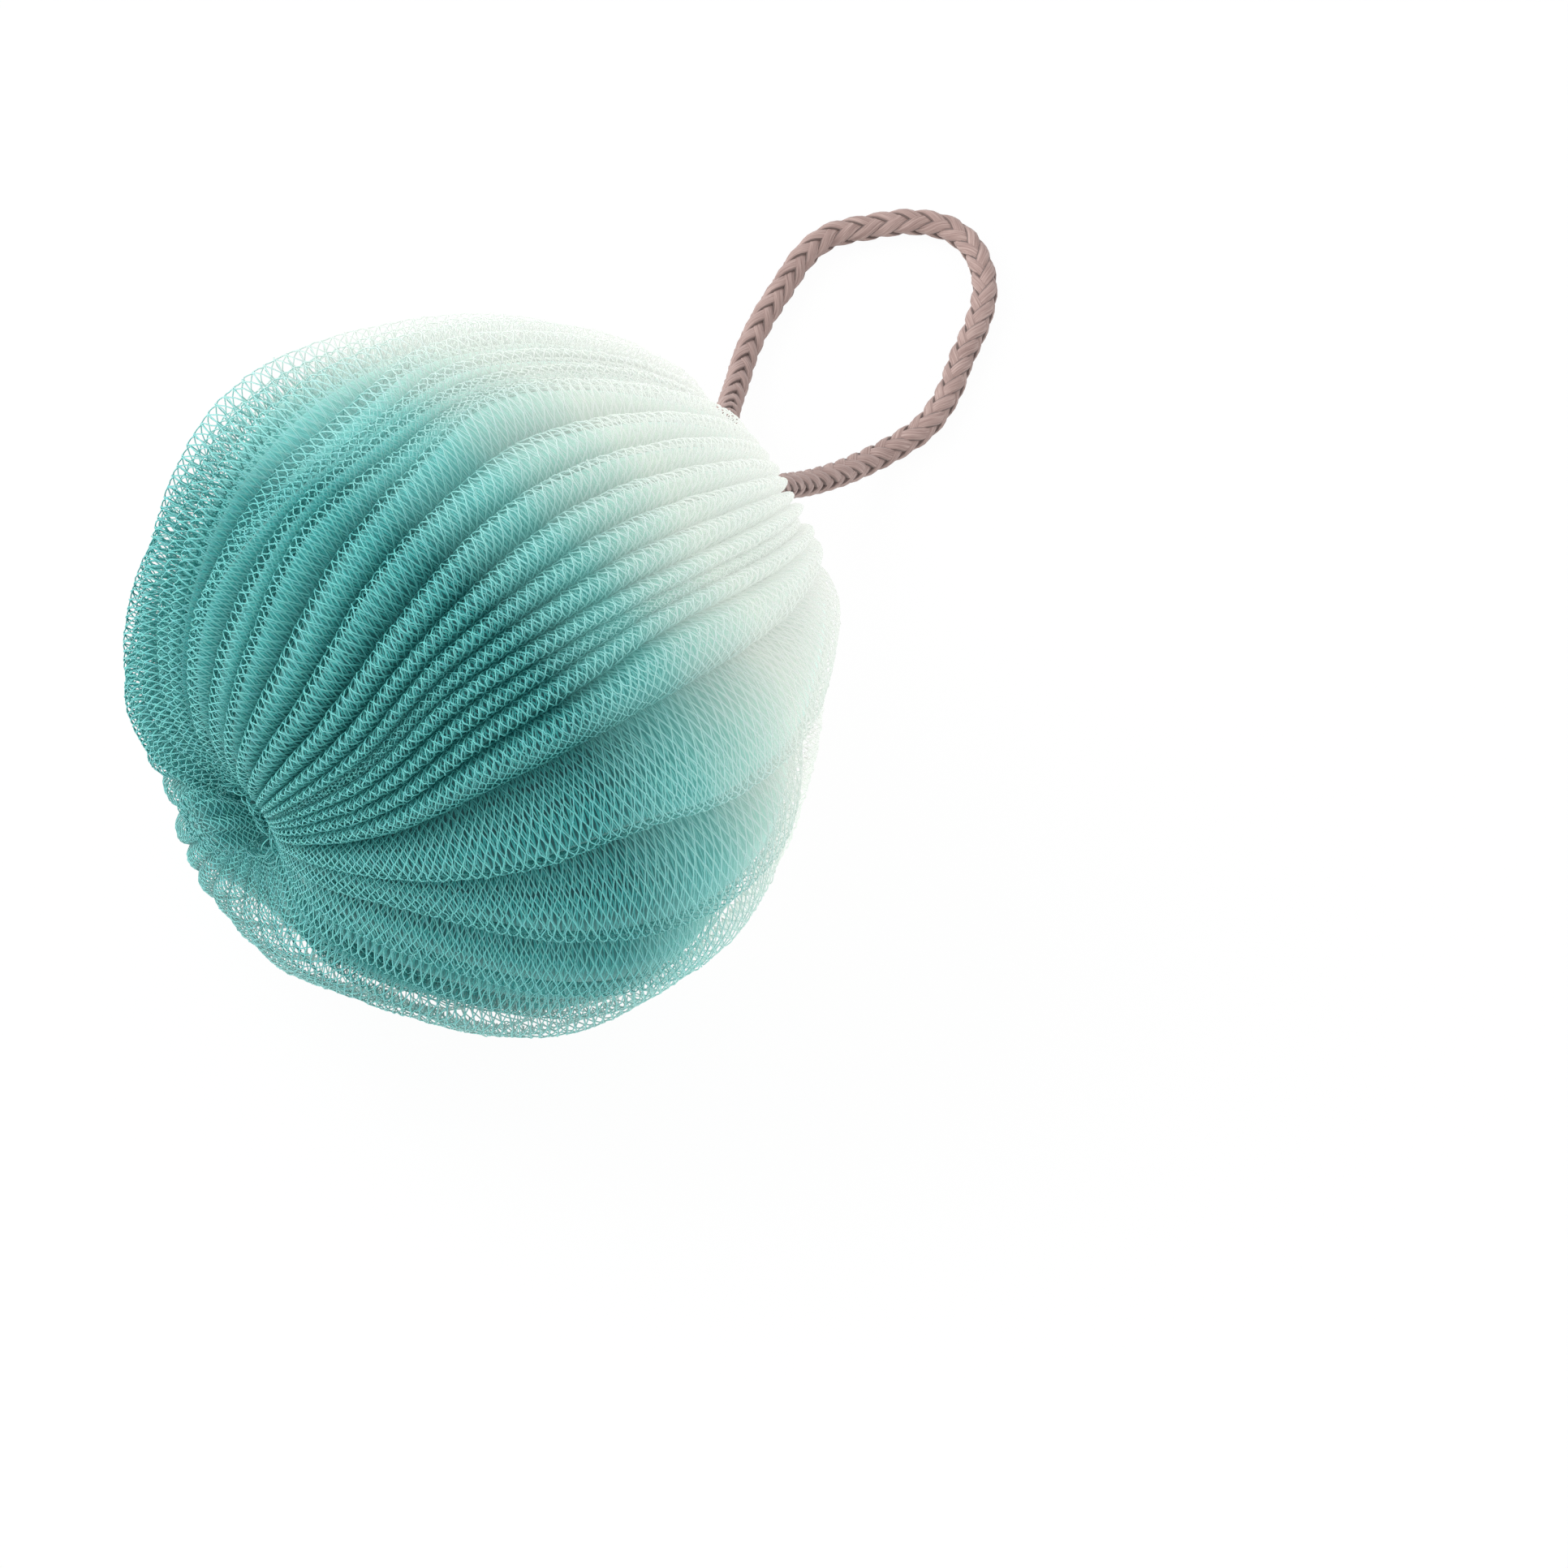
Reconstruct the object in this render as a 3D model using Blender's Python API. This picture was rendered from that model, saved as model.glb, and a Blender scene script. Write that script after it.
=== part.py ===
"""Mesh bath pouf: a ball of fine netting gathered into pleats between two
poles, with a braided cord loop knotted through one of its gathers.

Metres, +Z up. The pouf lies on a table with its axis along X: the plain
gather faces -X, the gather with the knot and the cord loop faces +X.
"""
import math

import bmesh
import bpy
from mathutils import Vector

# Driving dimensions of the ball.
BALL_RADIUS = 0.065
PLEAT_DEPTH = 0.0080
AXIS_HEIGHT = 0.0615
PLAIN_END_DENT = 0.20
KNOT_END_DENT = 0.28
DENT_REACH = 16.0
NECK_ANGLE = 5.0
VIEW_ROLL = 31.0

# Driving dimensions of the puckered net end at the plain gather.
TUFT_RADIUS = 0.0058
TUFT_LENGTH = 0.0095
TUFT_LEAN = 0.0055
TUFT_LOBES = 7
TUFT_LOBE_DEPTH = 0.19

# The puckered end's rings, tip first: share of its length, share of its
# radius, share of its lobes' depth.
TUFT_RINGS = (
    (1.0, 0.45, 0.5),
    (0.92, 0.84, 1.0),
    (0.66, 1.0, 1.0),
    (0.30, 0.78, 0.5),
)
TUFT_TIP = 0.96

# Driving dimensions of the cord and its knot.
CORD_DIAMETER = 0.0050
CORD_SIDES_RESOLUTION = 2
KNOT_CORD_DIAMETER = 0.0046
KNOT_COLLAR_RADIUS = 0.0035
KNOT_COLLAR_POINTS = 24
KNOT_COLLAR_AXIS = (0.80, 0.30, 0.10)
KNOT_BIGHT_POINTS = 14
BIGHT_BACK = 0.45
TOUCH_GAP = 0.0003
CAP_WELD = 0.00001

# How finely the netting's surface is divided.
RINGS_ALONG_AXIS = 27
ACROSS_PLEAT = (-1.0, -0.68, -0.26, 0.26, 0.68)

# The pleats' crests, as angles round the axis at each station along it.
# A station is an angle from the plain gather's pole, in degrees.
STATIONS = (20.0, 40.0, 60.0, 80.0, 100.0, 130.0, 160.0)

# Each row: crest angle at each station, crest height at each station as a
# share of the pleat's depth, and where the valley after it lies on the way
# to the next crest.
FULL = (1.0,) * 7
VISIBLE_PLEATS = (
    ((-66, -72, -75, -72, -67, -60, -62), FULL, 0.50),
    ((-60, -65, -62, -54, -59, -51, -52), (0.0, 0.0, 0.1, 0.6, 1.0, 1.0, 1.0), 0.55),
    ((-54, -60, -54, -49.5, -51, -46, -43), (1.0, 1.2, 1.0, 0.7, 0.8, 0.5, 0.6), 0.50),
    ((-43, -45, -48, -46, -46, -41, -36), (0.7, 1.0, 0.9, 1.0, 0.4, 0.3, 0.4), 0.50),
    ((-33, -38, -43, -41, -43, -36, -30), (0.8, 1.0, 1.0, 0.6, 0.0, 0.2, 0.4), 0.50),
    ((-23, -26, -31, -36, -40, -31, -24), FULL, 0.55),
    ((-14, -17, -24, -26, -26, -23, -18), FULL, 0.55),
    ((-6, -9, -14, -19, -20, -16, -12), FULL, 0.50),
    ((-1, -3, -9, -11.5, -13, -9.5, -6), FULL, 0.50),
    ((3, 1.5, -5, -6.8, -7, -4, -1), FULL, 0.50),
    ((5, 4.2, -1.5, -2.5, -2, 1, 4), (0.0, 0.0, 0.5, 1.0, 1.0, 0.9, 0.9), 0.50),
    ((7, 7, 1.8, 1.5, 2.8, 6, 9), FULL, 0.50),
    ((9.5, 10.8, 5.8, 4.7, 5.2, 9, 13.5), (1.0, 1.0, 1.0, 0.6, 0.1, 0.2, 0.4), 0.50),
    ((13, 14.6, 10, 8.2, 7.6, 12, 18), FULL, 0.50),
    ((17, 18.6, 15, 14, 13, 18, 24), FULL, 0.30),
    ((24, 33, 36, 36, 41, 44, 40), FULL, 0.14),
    ((34, 42, 53, 60, 63, 60, 52), FULL, 0.12),
    ((50, 59, 70, 79, 86, 80, 68), FULL, 0.16),
)
FLOOR_PLEAT = ((149,) * 7, FULL, 0.50)
PLEATS_BEFORE_FLOOR = 6
PLEATS_AFTER_FLOOR = 13
HIDDEN_PLEAT_SWAY = 1.1
NARROW_PLEAT = 4.5

# Where the pleats lie flatter: angle round the axis, spread of the place,
# share taken off the pleats' depth.
FLATTER_PLACES = (
    (-50.0, 26.0, 0.42),
    (112.0, 34.0, 0.45),
)

# Where the ball stands proud of, or falls short of, a plain round form:
# station angle, angle round the axis, reach of each, share of the radius.
BULGES = (
    (80.0, -93.0, 20.0, 14.0, 0.058),
    (42.0, -120.0, 16.0, 24.0, 0.012),
    (76.0, 98.0, 24.0, 16.0, 0.020),
    (46.0, 114.0, 12.0, 12.0, -0.060),
    (28.0, 145.0, 12.0, 22.0, -0.004),
    (118.0, 77.0, 14.0, 11.0, -0.050),
    (134.0, 66.0, 13.0, 13.0, -0.210),
    (24.0, -152.0, 10.0, 18.0, -0.105),
)

# The cord's middle line from the knot, round the loop on the table and back
# to the knot. Each point was chosen to fall where the loop lies.
LOOP_ROUTE = (
    (0.0595, 0.0050, 0.0638),
    (0.0633, 0.0078, 0.0608),
    (0.0675, 0.0135, 0.0525),
    (0.0755, 0.0250, 0.0390),
    (0.0860, 0.0383, 0.0245),
    (0.0973, 0.0515, 0.0105),
    (0.1050, 0.0587, 0.0052),
    (0.1118, 0.0645, 0.0031),
    (0.1189, 0.0689, 0.0028),
    (0.1265, 0.0725, 0.0028),
    (0.1341, 0.0758, 0.0028),
    (0.1406, 0.0765, 0.0028),
    (0.1471, 0.0739, 0.0028),
    (0.1538, 0.0703, 0.0028),
    (0.1583, 0.0652, 0.0028),
    (0.1594, 0.0594, 0.0028),
    (0.1578, 0.0537, 0.0028),
    (0.1543, 0.0485, 0.0028),
    (0.1489, 0.0439, 0.0028),
    (0.1416, 0.0393, 0.0028),
    (0.1352, 0.0348, 0.0028),
    (0.1276, 0.0315, 0.0028),
    (0.1204, 0.0308, 0.0031),
    (0.1130, 0.0300, 0.0052),
    (0.1045, 0.0280, 0.0102),
    (0.0949, 0.0250, 0.0182),
    (0.0845, 0.0202, 0.0300),
    (0.0760, 0.0140, 0.0400),
    (0.0705, 0.0082, 0.0480),
    (0.0660, 0.0028, 0.0535),
    (0.0617, -0.0020, 0.0566),
)
POINTS_ALONG_CORD = 64


def smooth_through(xs, ys, x):
    """Value at x of a smooth curve through the points, held at both ends."""
    if x <= xs[0]:
        return ys[0]
    if x >= xs[-1]:
        return ys[-1]
    last = len(xs) - 1
    i = max(k for k in range(last) if xs[k] <= x)

    def slope(k):
        low, high = max(k - 1, 0), min(k + 1, last)
        return (ys[high] - ys[low]) / (xs[high] - xs[low])

    span = xs[i + 1] - xs[i]
    t = (x - xs[i]) / span
    start, end = slope(i) * span, slope(i + 1) * span
    return (
        (2 * t ** 3 - 3 * t ** 2 + 1) * ys[i]
        + (t ** 3 - 2 * t ** 2 + t) * start
        + (3 * t ** 2 - 2 * t ** 3) * ys[i + 1]
        + (t ** 3 - t ** 2) * end
    )


def pleats_at(station):
    """Crest angle, height share and valley share of every pleat, in order."""
    rows = [
        [smooth_through(STATIONS, angles, station), smooth_through(STATIONS, heights, station), share]
        for angles, heights, share in VISIBLE_PLEATS + (FLOOR_PLEAT,)
    ]
    floor = rows.pop()
    first, last = rows[0], rows[-1]
    for start, end, count in (
        (last[0], floor[0], PLEATS_BEFORE_FLOOR),
        (floor[0], first[0] + 360.0, PLEATS_AFTER_FLOOR),
    ):
        for k in range(1, count + 1):
            fade = math.sin(math.pi * k / (count + 1))
            sway = HIDDEN_PLEAT_SWAY * fade * math.sin(2.4 * k + math.radians(2.2 * station))
            height = 0.9 + 0.1 * math.cos(3.1 * k)
            rows.append([start + (end - start) * k / (count + 1) + sway, height, 0.5])
        if start == last[0]:
            rows.append(floor)
    return rows


def depth_share(station):
    """How much of the pleats' depth is left towards the gathered poles."""
    return min(1.0, math.sin(math.radians(station)) / math.sin(math.radians(55.0))) ** 0.8


def bulge_at(station, angle):
    total = 0.0
    for where, side, reach, spread, amount in BULGES:
        turn = (angle - side + 180.0) % 360.0 - 180.0
        total += amount * math.exp(-((station - where) / reach) ** 2 - (turn / spread) ** 2)
    return total


def pleat_reach(station, angle):
    """Depth of a wide pleat there, less at the gathers and where it lies flat."""
    flat = 0.0
    for side, spread, amount in FLATTER_PLACES:
        turn = (angle - side + 180.0) % 360.0 - 180.0
        flat += amount * math.exp(-(turn / spread) ** 2)
    return PLEAT_DEPTH * depth_share(station) * (1.0 - flat)


def surface_point(station, angle, height):
    """Point of the netting: height is measured from the plain round form."""
    c = math.radians(station)
    dents = sum(
        dent * math.exp(-(away / DENT_REACH) ** 2)
        for dent, away in ((PLAIN_END_DENT, station), (KNOT_END_DENT, 180.0 - station))
    )
    lift = height + BALL_RADIUS * bulge_at(station, angle)
    along = -math.cos(c) * (BALL_RADIUS * (1.0 - dents) + lift)
    out = math.sin(c) * (BALL_RADIUS + lift)
    turn = math.radians(angle + VIEW_ROLL)
    return (along, -out * math.sin(turn), max(0.0, AXIS_HEIGHT + out * math.cos(turn)))


def pleat_profile(share):
    """Rounded section of a pleat: 1 on its crest, 0 in the valley beside it."""
    return max(0.0, 1.0 - abs(share) ** 2.4) ** 0.75


def net_ring(station):
    """Points once round the axis, from valley over crest to valley."""
    rows = pleats_at(station)
    count = len(rows)
    crests = [row[0] for row in rows]
    gaps = [(crests[(i + 1) % count] - crests[i]) % 360.0 for i in range(count)]
    valleys = [crests[i] + gaps[i] * rows[i][2] for i in range(count)]
    depths = [
        pleat_reach(station, valley) * (1.0 - math.exp(-gap / NARROW_PLEAT))
        for valley, gap in zip(valleys, gaps)
    ]
    points = []
    for i in range(count):
        before = valleys[i - 1] if i else valleys[-1] - 360.0
        mean_depth = 0.5 * (depths[i - 1] + depths[i])
        crest_height = -0.85 * mean_depth * (1.0 - rows[i][1])
        for share in ACROSS_PLEAT:
            side = crests[i] - before if share < 0.0 else valleys[i] - crests[i]
            valley_height = -(depths[i - 1] if share < 0.0 else depths[i])
            height = valley_height + (crest_height - valley_height) * pleat_profile(share)
            points.append(surface_point(station, crests[i] + share * side, height))
    return points


def tuft_ring(base, along, lean, radius, lobes):
    """Ring of the puckered net end, with the ball's own count of points."""
    points = []
    for x, y, z in base:
        turn = math.atan2(y, z - AXIS_HEIGHT)
        out = radius * (1.0 + lobes * math.cos(TUFT_LOBES * turn + 0.9 * math.sin(turn)))
        points.append((along, lean + out * math.sin(turn), AXIS_HEIGHT + out * math.cos(turn)))
    return points


def material(name, colour, roughness):
    made = bpy.data.materials.new(name)
    made.use_nodes = True
    shader = made.node_tree.nodes["Principled BSDF"]
    shader.inputs["Base Color"].default_value = (*colour, 1.0)
    shader.inputs["Roughness"].default_value = roughness
    shader.inputs["Metallic"].default_value = 0.0
    return made


def finish(name, mesh_or_curve, finish_material):
    made = bpy.data.objects.new(name, mesh_or_curve)
    bpy.context.scene.collection.objects.link(made)
    mesh_or_curve.materials.append(finish_material)
    return made


def close_rings(mesh, rings, first_tip, last_tip):
    """Skin a row of rings and close both ends to a tip."""
    made = [[mesh.verts.new(point) for point in ring] for ring in rings]
    size = len(made[0])
    for low, high in zip(made, made[1:]):
        for k in range(size):
            nxt = (k + 1) % size
            mesh.faces.new((low[k], high[k], high[nxt], low[nxt]))
    start = mesh.verts.new(first_tip)
    end = mesh.verts.new(last_tip)
    for k in range(size):
        nxt = (k + 1) % size
        mesh.faces.new((start, made[0][k], made[0][nxt]))
        mesh.faces.new((end, made[-1][nxt], made[-1][k]))
    bmesh.ops.recalc_face_normals(mesh, faces=mesh.faces)


def build_net_ball(net):
    """The netting: one gathered piece, with a puckered end at -X."""
    span = 180.0 - 2.0 * NECK_ANGLE
    last = RINGS_ALONG_AXIS - 1
    rings = [net_ring(NECK_ANGLE + span * k / last) for k in range(RINGS_ALONG_AXIS)]
    neck = rings[0]
    neck_x = sum(point[0] for point in neck) / len(neck)
    tuft = [
        tuft_ring(
            neck,
            neck_x - TUFT_LENGTH * share,
            TUFT_LEAN * share,
            TUFT_RADIUS * wide,
            TUFT_LOBE_DEPTH * lobed,
        )
        for share, wide, lobed in TUFT_RINGS
    ]
    rings = tuft + rings
    far_x = sum(point[0] for point in rings[-1]) / len(rings[-1])
    mesh = bmesh.new()
    close_rings(
        mesh,
        rings,
        (neck_x - TUFT_LENGTH * TUFT_TIP, TUFT_LEAN, AXIS_HEIGHT),
        (far_x, 0.0, AXIS_HEIGHT),
    )
    for face in mesh.faces:
        face.smooth = True
    low = [min(v.co[k] for v in mesh.verts) for k in (0, 1)]
    high = [max(v.co[k] for v in mesh.verts) for k in (0, 1)]
    middle = [0.5 * (a + b) for a, b in zip(low, high)]
    bmesh.ops.translate(mesh, verts=mesh.verts, vec=(-middle[0], -middle[1], 0.0))
    data = bpy.data.meshes.new("net_ball")
    mesh.to_mesh(data)
    mesh.free()
    finish("net_ball", data, net)
    return far_x - middle[0]


def smooth_route(route, count):
    """Evenly spaced points on a smooth curve through the route's points."""
    points = [Vector(point) for point in route]
    ends = [points[0] * 2 - points[1]] + points + [points[-1] * 2 - points[-2]]
    fine = []
    steps = 24
    for i in range(1, len(ends) - 2):
        a, b, c, d = ends[i - 1:i + 3]
        for s in range(steps):
            t = s / steps
            fine.append(
                0.5 * (2 * b + (c - a) * t + (2 * a - 5 * b + 4 * c - d) * t ** 2
                       + (3 * b - a - 3 * c + d) * t ** 3)
            )
    fine.append(points[-1])
    lengths = [0.0]
    for low, high in zip(fine, fine[1:]):
        lengths.append(lengths[-1] + (high - low).length)
    placed = []
    k = 0
    for n in range(count):
        want = lengths[-1] * n / (count - 1)
        while k < len(fine) - 2 and lengths[k + 1] < want:
            k += 1
        share = (want - lengths[k]) / (lengths[k + 1] - lengths[k])
        placed.append(fine[k].lerp(fine[k + 1], share))
    return placed


def tube(name, points, diameter, closed=False):
    curve = bpy.data.curves.new(name, "CURVE")
    curve.dimensions = "3D"
    curve.bevel_depth = diameter / 2.0
    curve.bevel_resolution = CORD_SIDES_RESOLUTION
    curve.use_fill_caps = not closed
    spline = curve.splines.new("POLY")
    spline.points.add(len(points) - 1)
    for place, point in zip(spline.points, points):
        place.co = (*point, 1.0)
    spline.use_cyclic_u = closed
    return curve


def build_cord(cord):
    points = smooth_route(LOOP_ROUTE, POINTS_ALONG_CORD)
    finish("hanging_cord", tube("hanging_cord", points, CORD_DIAMETER), cord)


def mesh_of(made):
    """The tube's shape as a mesh object of its own, its caps joined on."""
    bpy.context.view_layer.update()
    data = bpy.data.meshes.new_from_object(made.evaluated_get(bpy.context.evaluated_depsgraph_get()))
    name = made.name
    bpy.data.objects.remove(made, do_unlink=True)
    mesh = bmesh.new()
    mesh.from_mesh(data)
    bmesh.ops.remove_doubles(mesh, verts=mesh.verts, dist=CAP_WELD)
    bmesh.ops.recalc_face_normals(mesh, faces=mesh.faces)
    for face in mesh.faces:
        face.smooth = len(face.verts) == 4
    mesh.to_mesh(data)
    mesh.free()
    solid = bpy.data.objects.new(name, data)
    bpy.context.scene.collection.objects.link(solid)
    return solid


def build_knot(cord, far_x):
    """The knot at the far gather: a turn of cord drawn tight round both legs."""
    setback = (BIGHT_BACK + 0.5) * KNOT_CORD_DIAMETER
    centre = Vector((far_x + TOUCH_GAP + setback, 0.0, AXIS_HEIGHT))
    first, second = Vector(LOOP_ROUTE[0]), Vector(LOOP_ROUTE[1])
    last, before_last = Vector(LOOP_ROUTE[-1]), Vector(LOOP_ROUTE[-2])
    out = (second - first).normalized()
    back = (before_last - last).normalized()
    bight = [
        first - out * 0.5 * KNOT_CORD_DIAMETER,
        centre + Vector((-0.1, 0.35, 0.45)) * KNOT_CORD_DIAMETER,
        centre + Vector((-BIGHT_BACK, 0.0, 0.0)) * KNOT_CORD_DIAMETER,
        centre + Vector((-0.1, -0.35, -0.45)) * KNOT_CORD_DIAMETER,
        last - back * 0.5 * KNOT_CORD_DIAMETER,
    ]
    turned = smooth_route(bight, KNOT_BIGHT_POINTS)
    points = [first - out * TOUCH_GAP] + turned + [last - back * TOUCH_GAP]
    core = finish("cord_knot", tube("cord_knot", points, KNOT_CORD_DIAMETER), cord)
    normal = Vector(KNOT_COLLAR_AXIS).normalized()
    side = normal.orthogonal().normalized()
    up = normal.cross(side)
    turns = [2.0 * math.pi * k / KNOT_COLLAR_POINTS for k in range(KNOT_COLLAR_POINTS)]
    ring = [centre + (side * math.cos(a) + up * math.sin(a)) * KNOT_COLLAR_RADIUS for a in turns]
    collar = finish("collar", tube("collar", ring, KNOT_CORD_DIAMETER, closed=True), cord)
    core, collar = mesh_of(core), mesh_of(collar)
    join = core.modifiers.new("join", "BOOLEAN")
    join.operation = "UNION"
    join.solver = "EXACT"
    join.use_self = True
    join.object = collar
    collar.hide_render = True
    collar.display_type = "WIRE"
    core.name = "cord_knot"


def main():
    for old in list(bpy.data.objects):
        bpy.data.objects.remove(old, do_unlink=True)
    net = material("net", (0.10, 0.42, 0.38), 0.55)
    cord = material("cord", (0.36, 0.26, 0.24), 0.85)
    far_x = build_net_ball(net)
    build_cord(cord)
    build_knot(cord, far_x)


main()
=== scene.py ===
"""Mesh bath pouf: the finished look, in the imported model's own frame.

A ball of diamond netting gathered into deep pleats between two poles, dyed
from teal at the plain gather to a pale mint at the gather with the cord, and
a braided cord loop lying beside it on a white table.
"""
import math

import bmesh
import bpy
import numpy as np
from mathutils import Matrix, Vector


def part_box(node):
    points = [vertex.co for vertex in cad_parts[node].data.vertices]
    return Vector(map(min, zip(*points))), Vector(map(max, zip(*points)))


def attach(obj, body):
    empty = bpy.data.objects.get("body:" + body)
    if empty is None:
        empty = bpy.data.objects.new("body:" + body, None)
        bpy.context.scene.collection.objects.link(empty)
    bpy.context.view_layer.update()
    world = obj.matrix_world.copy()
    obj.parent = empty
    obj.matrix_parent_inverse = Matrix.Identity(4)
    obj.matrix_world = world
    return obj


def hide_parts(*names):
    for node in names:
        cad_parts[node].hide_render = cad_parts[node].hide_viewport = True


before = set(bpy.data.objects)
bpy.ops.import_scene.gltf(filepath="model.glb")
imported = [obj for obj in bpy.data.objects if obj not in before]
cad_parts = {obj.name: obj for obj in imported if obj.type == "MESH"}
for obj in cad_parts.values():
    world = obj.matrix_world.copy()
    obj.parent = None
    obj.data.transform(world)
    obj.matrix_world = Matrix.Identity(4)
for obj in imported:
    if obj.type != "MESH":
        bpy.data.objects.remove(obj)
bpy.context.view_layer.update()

# The ball's form, as in the part.
BALL_RADIUS = 0.065
PLEAT_DEPTH = 0.0080
AXIS_HEIGHT = 0.0615
PLAIN_END_DENT = 0.20
KNOT_END_DENT = 0.28
DENT_REACH = 16.0
NECK_ANGLE = 5.0
VIEW_ROLL = 31.0
HIDDEN_PLEAT_SWAY = 1.1
NARROW_PLEAT = 4.5
PART_STATIONS = 27

# Each pleat that the photograph shows: its crest's angle round the axis and
# its crest's height at each station, and its valley's share of the way to the
# next crest. Stations are angles along the axis from the plain gather.
STATIONS = (20.0, 40.0, 60.0, 80.0, 100.0, 130.0, 160.0)
FULL = (1.0,) * 7
VISIBLE_PLEATS = (
    ((-66, -72, -75, -72, -67, -60, -62), FULL, 0.50),
    ((-60, -65, -62, -54, -59, -51, -52), (0.0, 0.0, 0.1, 0.6, 1.0, 1.0, 1.0), 0.55),
    ((-54, -60, -54, -49.5, -51, -46, -43), (1.0, 1.2, 1.0, 0.7, 0.8, 0.5, 0.6), 0.50),
    ((-43, -45, -48, -46, -46, -41, -36), (0.7, 1.0, 0.9, 1.0, 0.4, 0.3, 0.4), 0.50),
    ((-33, -38, -43, -41, -43, -36, -30), (0.8, 1.0, 1.0, 0.6, 0.0, 0.2, 0.4), 0.50),
    ((-23, -26, -31, -36, -40, -31, -24), FULL, 0.55),
    ((-14, -17, -24, -26, -26, -23, -18), FULL, 0.55),
    ((-6, -9, -14, -19, -20, -16, -12), FULL, 0.50),
    ((-1, -3, -9, -11.5, -13, -9.5, -6), FULL, 0.50),
    ((3, 1.5, -5, -6.8, -7, -4, -1), FULL, 0.50),
    ((5, 4.2, -1.5, -2.5, -2, 1, 4), (0.0, 0.0, 0.5, 1.0, 1.0, 0.9, 0.9), 0.50),
    ((7, 7, 1.8, 1.5, 2.8, 6, 9), FULL, 0.50),
    ((9.5, 10.8, 5.8, 4.7, 5.2, 9, 13.5), (1.0, 1.0, 1.0, 0.6, 0.1, 0.2, 0.4), 0.50),
    ((13, 14.6, 10, 8.2, 7.6, 12, 18), FULL, 0.50),
    ((17, 18.6, 15, 14, 13, 18, 24), FULL, 0.30),
    ((24, 33, 36, 36, 41, 44, 40), FULL, 0.14),
    ((34, 42, 53, 60, 63, 60, 52), FULL, 0.12),
    ((50, 59, 70, 79, 86, 80, 68), FULL, 0.16),
)
FLOOR_PLEAT = ((149,) * 7, FULL, 0.50)
PLEATS_BEFORE_FLOOR = 6
PLEATS_AFTER_FLOOR = 13
PLEATS = len(VISIBLE_PLEATS) + PLEATS_BEFORE_FLOOR + 1 + PLEATS_AFTER_FLOOR

# Places where the pleats lie flatter, and where the whole form swells or sinks:
# angle along the axis, angle round it, reach along, reach round and amount.
FLATTER_PLACES = (
    (90.0, -50.0, 400.0, 26.0, 0.42),
    (90.0, 112.0, 400.0, 34.0, 0.74),
    (20.0, 172.0, 24.0, 40.0, 0.70),
)
BULGES = (
    (80.0, -93.0, 20.0, 14.0, 0.058),
    (42.0, -120.0, 16.0, 24.0, 0.012),
    (76.0, 98.0, 24.0, 16.0, 0.020),
    (46.0, 114.0, 12.0, 12.0, -0.060),
    (28.0, 145.0, 12.0, 22.0, -0.004),
    (118.0, 77.0, 14.0, 11.0, -0.050),
    (134.0, 66.0, 14.0, 14.5, -0.232),
    (24.0, -152.0, 10.0, 18.0, -0.105),
)
# Where the under layer and the inner folds keep back, so that the outer net
# lets light through.
HOLLOW_PLACES = (
    (70.0, -98.0, 30.0, 26.0, -0.105),
    (38.0, -122.0, 16.0, 24.0, -0.050),
    (52.0, 116.0, 38.0, 28.0, -0.090),
    (116.0, 88.0, 22.0, 18.0, -0.080),
    (120.0, -72.0, 22.0, 16.0, -0.050),
    (27.0, 150.0, 18.0, 28.0, -0.075),
)

# The puckered end at the plain gather, with its form given at shares of its
# length: how far along it goes, how wide it is and how deep its lobes are. Its
# net is as calm as the ball's at its station.
TUFT_RADIUS = 0.0058
TUFT_LENGTH = 0.0095
TUFT_LEAN = 0.0055
TUFT_LOBES = 7
TUFT_LOBE_DEPTH = 0.19
TUFT_SHARES = (0.0, 0.30, 0.62, 0.86, 1.0)
TUFT_ALONG = (-0.10, 0.30, 0.66, 0.94, 0.96)
TUFT_WIDE = (0.52, 0.78, 1.0, 0.80, 0.12)
TUFT_LOBED_SHARES = (0.0, 0.30, 0.62, 1.0)
TUFT_LOBED = (0.0, 0.5, 1.0, 1.0)
TUFT_STATION = 12.0
TUFT_ROWS = 19
TUFT_COLUMNS = 84
TUFT_FOLD_SIZE = 0.88
TUFT_FOLD_ROWS = 16
TUFT_FOLD_COLUMNS = 56

# The netting's threads. A row zigzags from knot to knot round the ball, and
# the marks place its knots across half a pleat, in half cells from the crest.
STRANDS = 206
GATHER_CROWDING = 0.02
THREAD_RADIUS = 0.00015
THREAD_SIDES = 3
NODE_REACH = 0.80
NET_WANDER = 0.00016
BROAD_PLEAT = 13.0
SECTION_POINTS = 25
OUTER_NARROW_MARKS = (0.0, 0.25, 0.5, 1.0, 1.5, 2.5, 3.0)
OUTER_BROAD_MARKS = (0.0, 0.25, 0.5, 1.0, 1.5, 2.5, 3.5, 4.5, 5.5, 6.5, 7.5, 8.5, 9.0)
OUTER_SHIFT = 0.5
UNDER_NARROW_MARKS = (0.0, 1.0, 2.0, 3.0)
UNDER_BROAD_MARKS = (0.0, 1.0, 2.0, 3.0, 4.0, 5.0, 6.0, 7.0)
UNDER_SHIFT = 0.0
UNDER_DROP = 0.0012
UNDER_WIDTH = 0.90
UNDER_FIRST_ROW = 40
UNDER_LAST_ROW = -20
OUTER_SEED = 3
UNDER_SEED = 4
TUFT_SEED = 5

# The inner folds, and the band round the axis where they are painted with the dark shade of deep gaps, as
# if they gaped so that the view went deep into them.
FOLD_DROP = 0.0024
FOLD_WIDTH = 0.84
FOLD_STATIONS = 73
CREST_TO_VALLEY = (0.33, 0.66)
PAINTED_GAP_SHADE_MIDDLE = 21.0
PAINTED_GAP_SHADE_NEAR = 24.0
PAINTED_GAP_SHADE_FAR = 66.0

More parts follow.
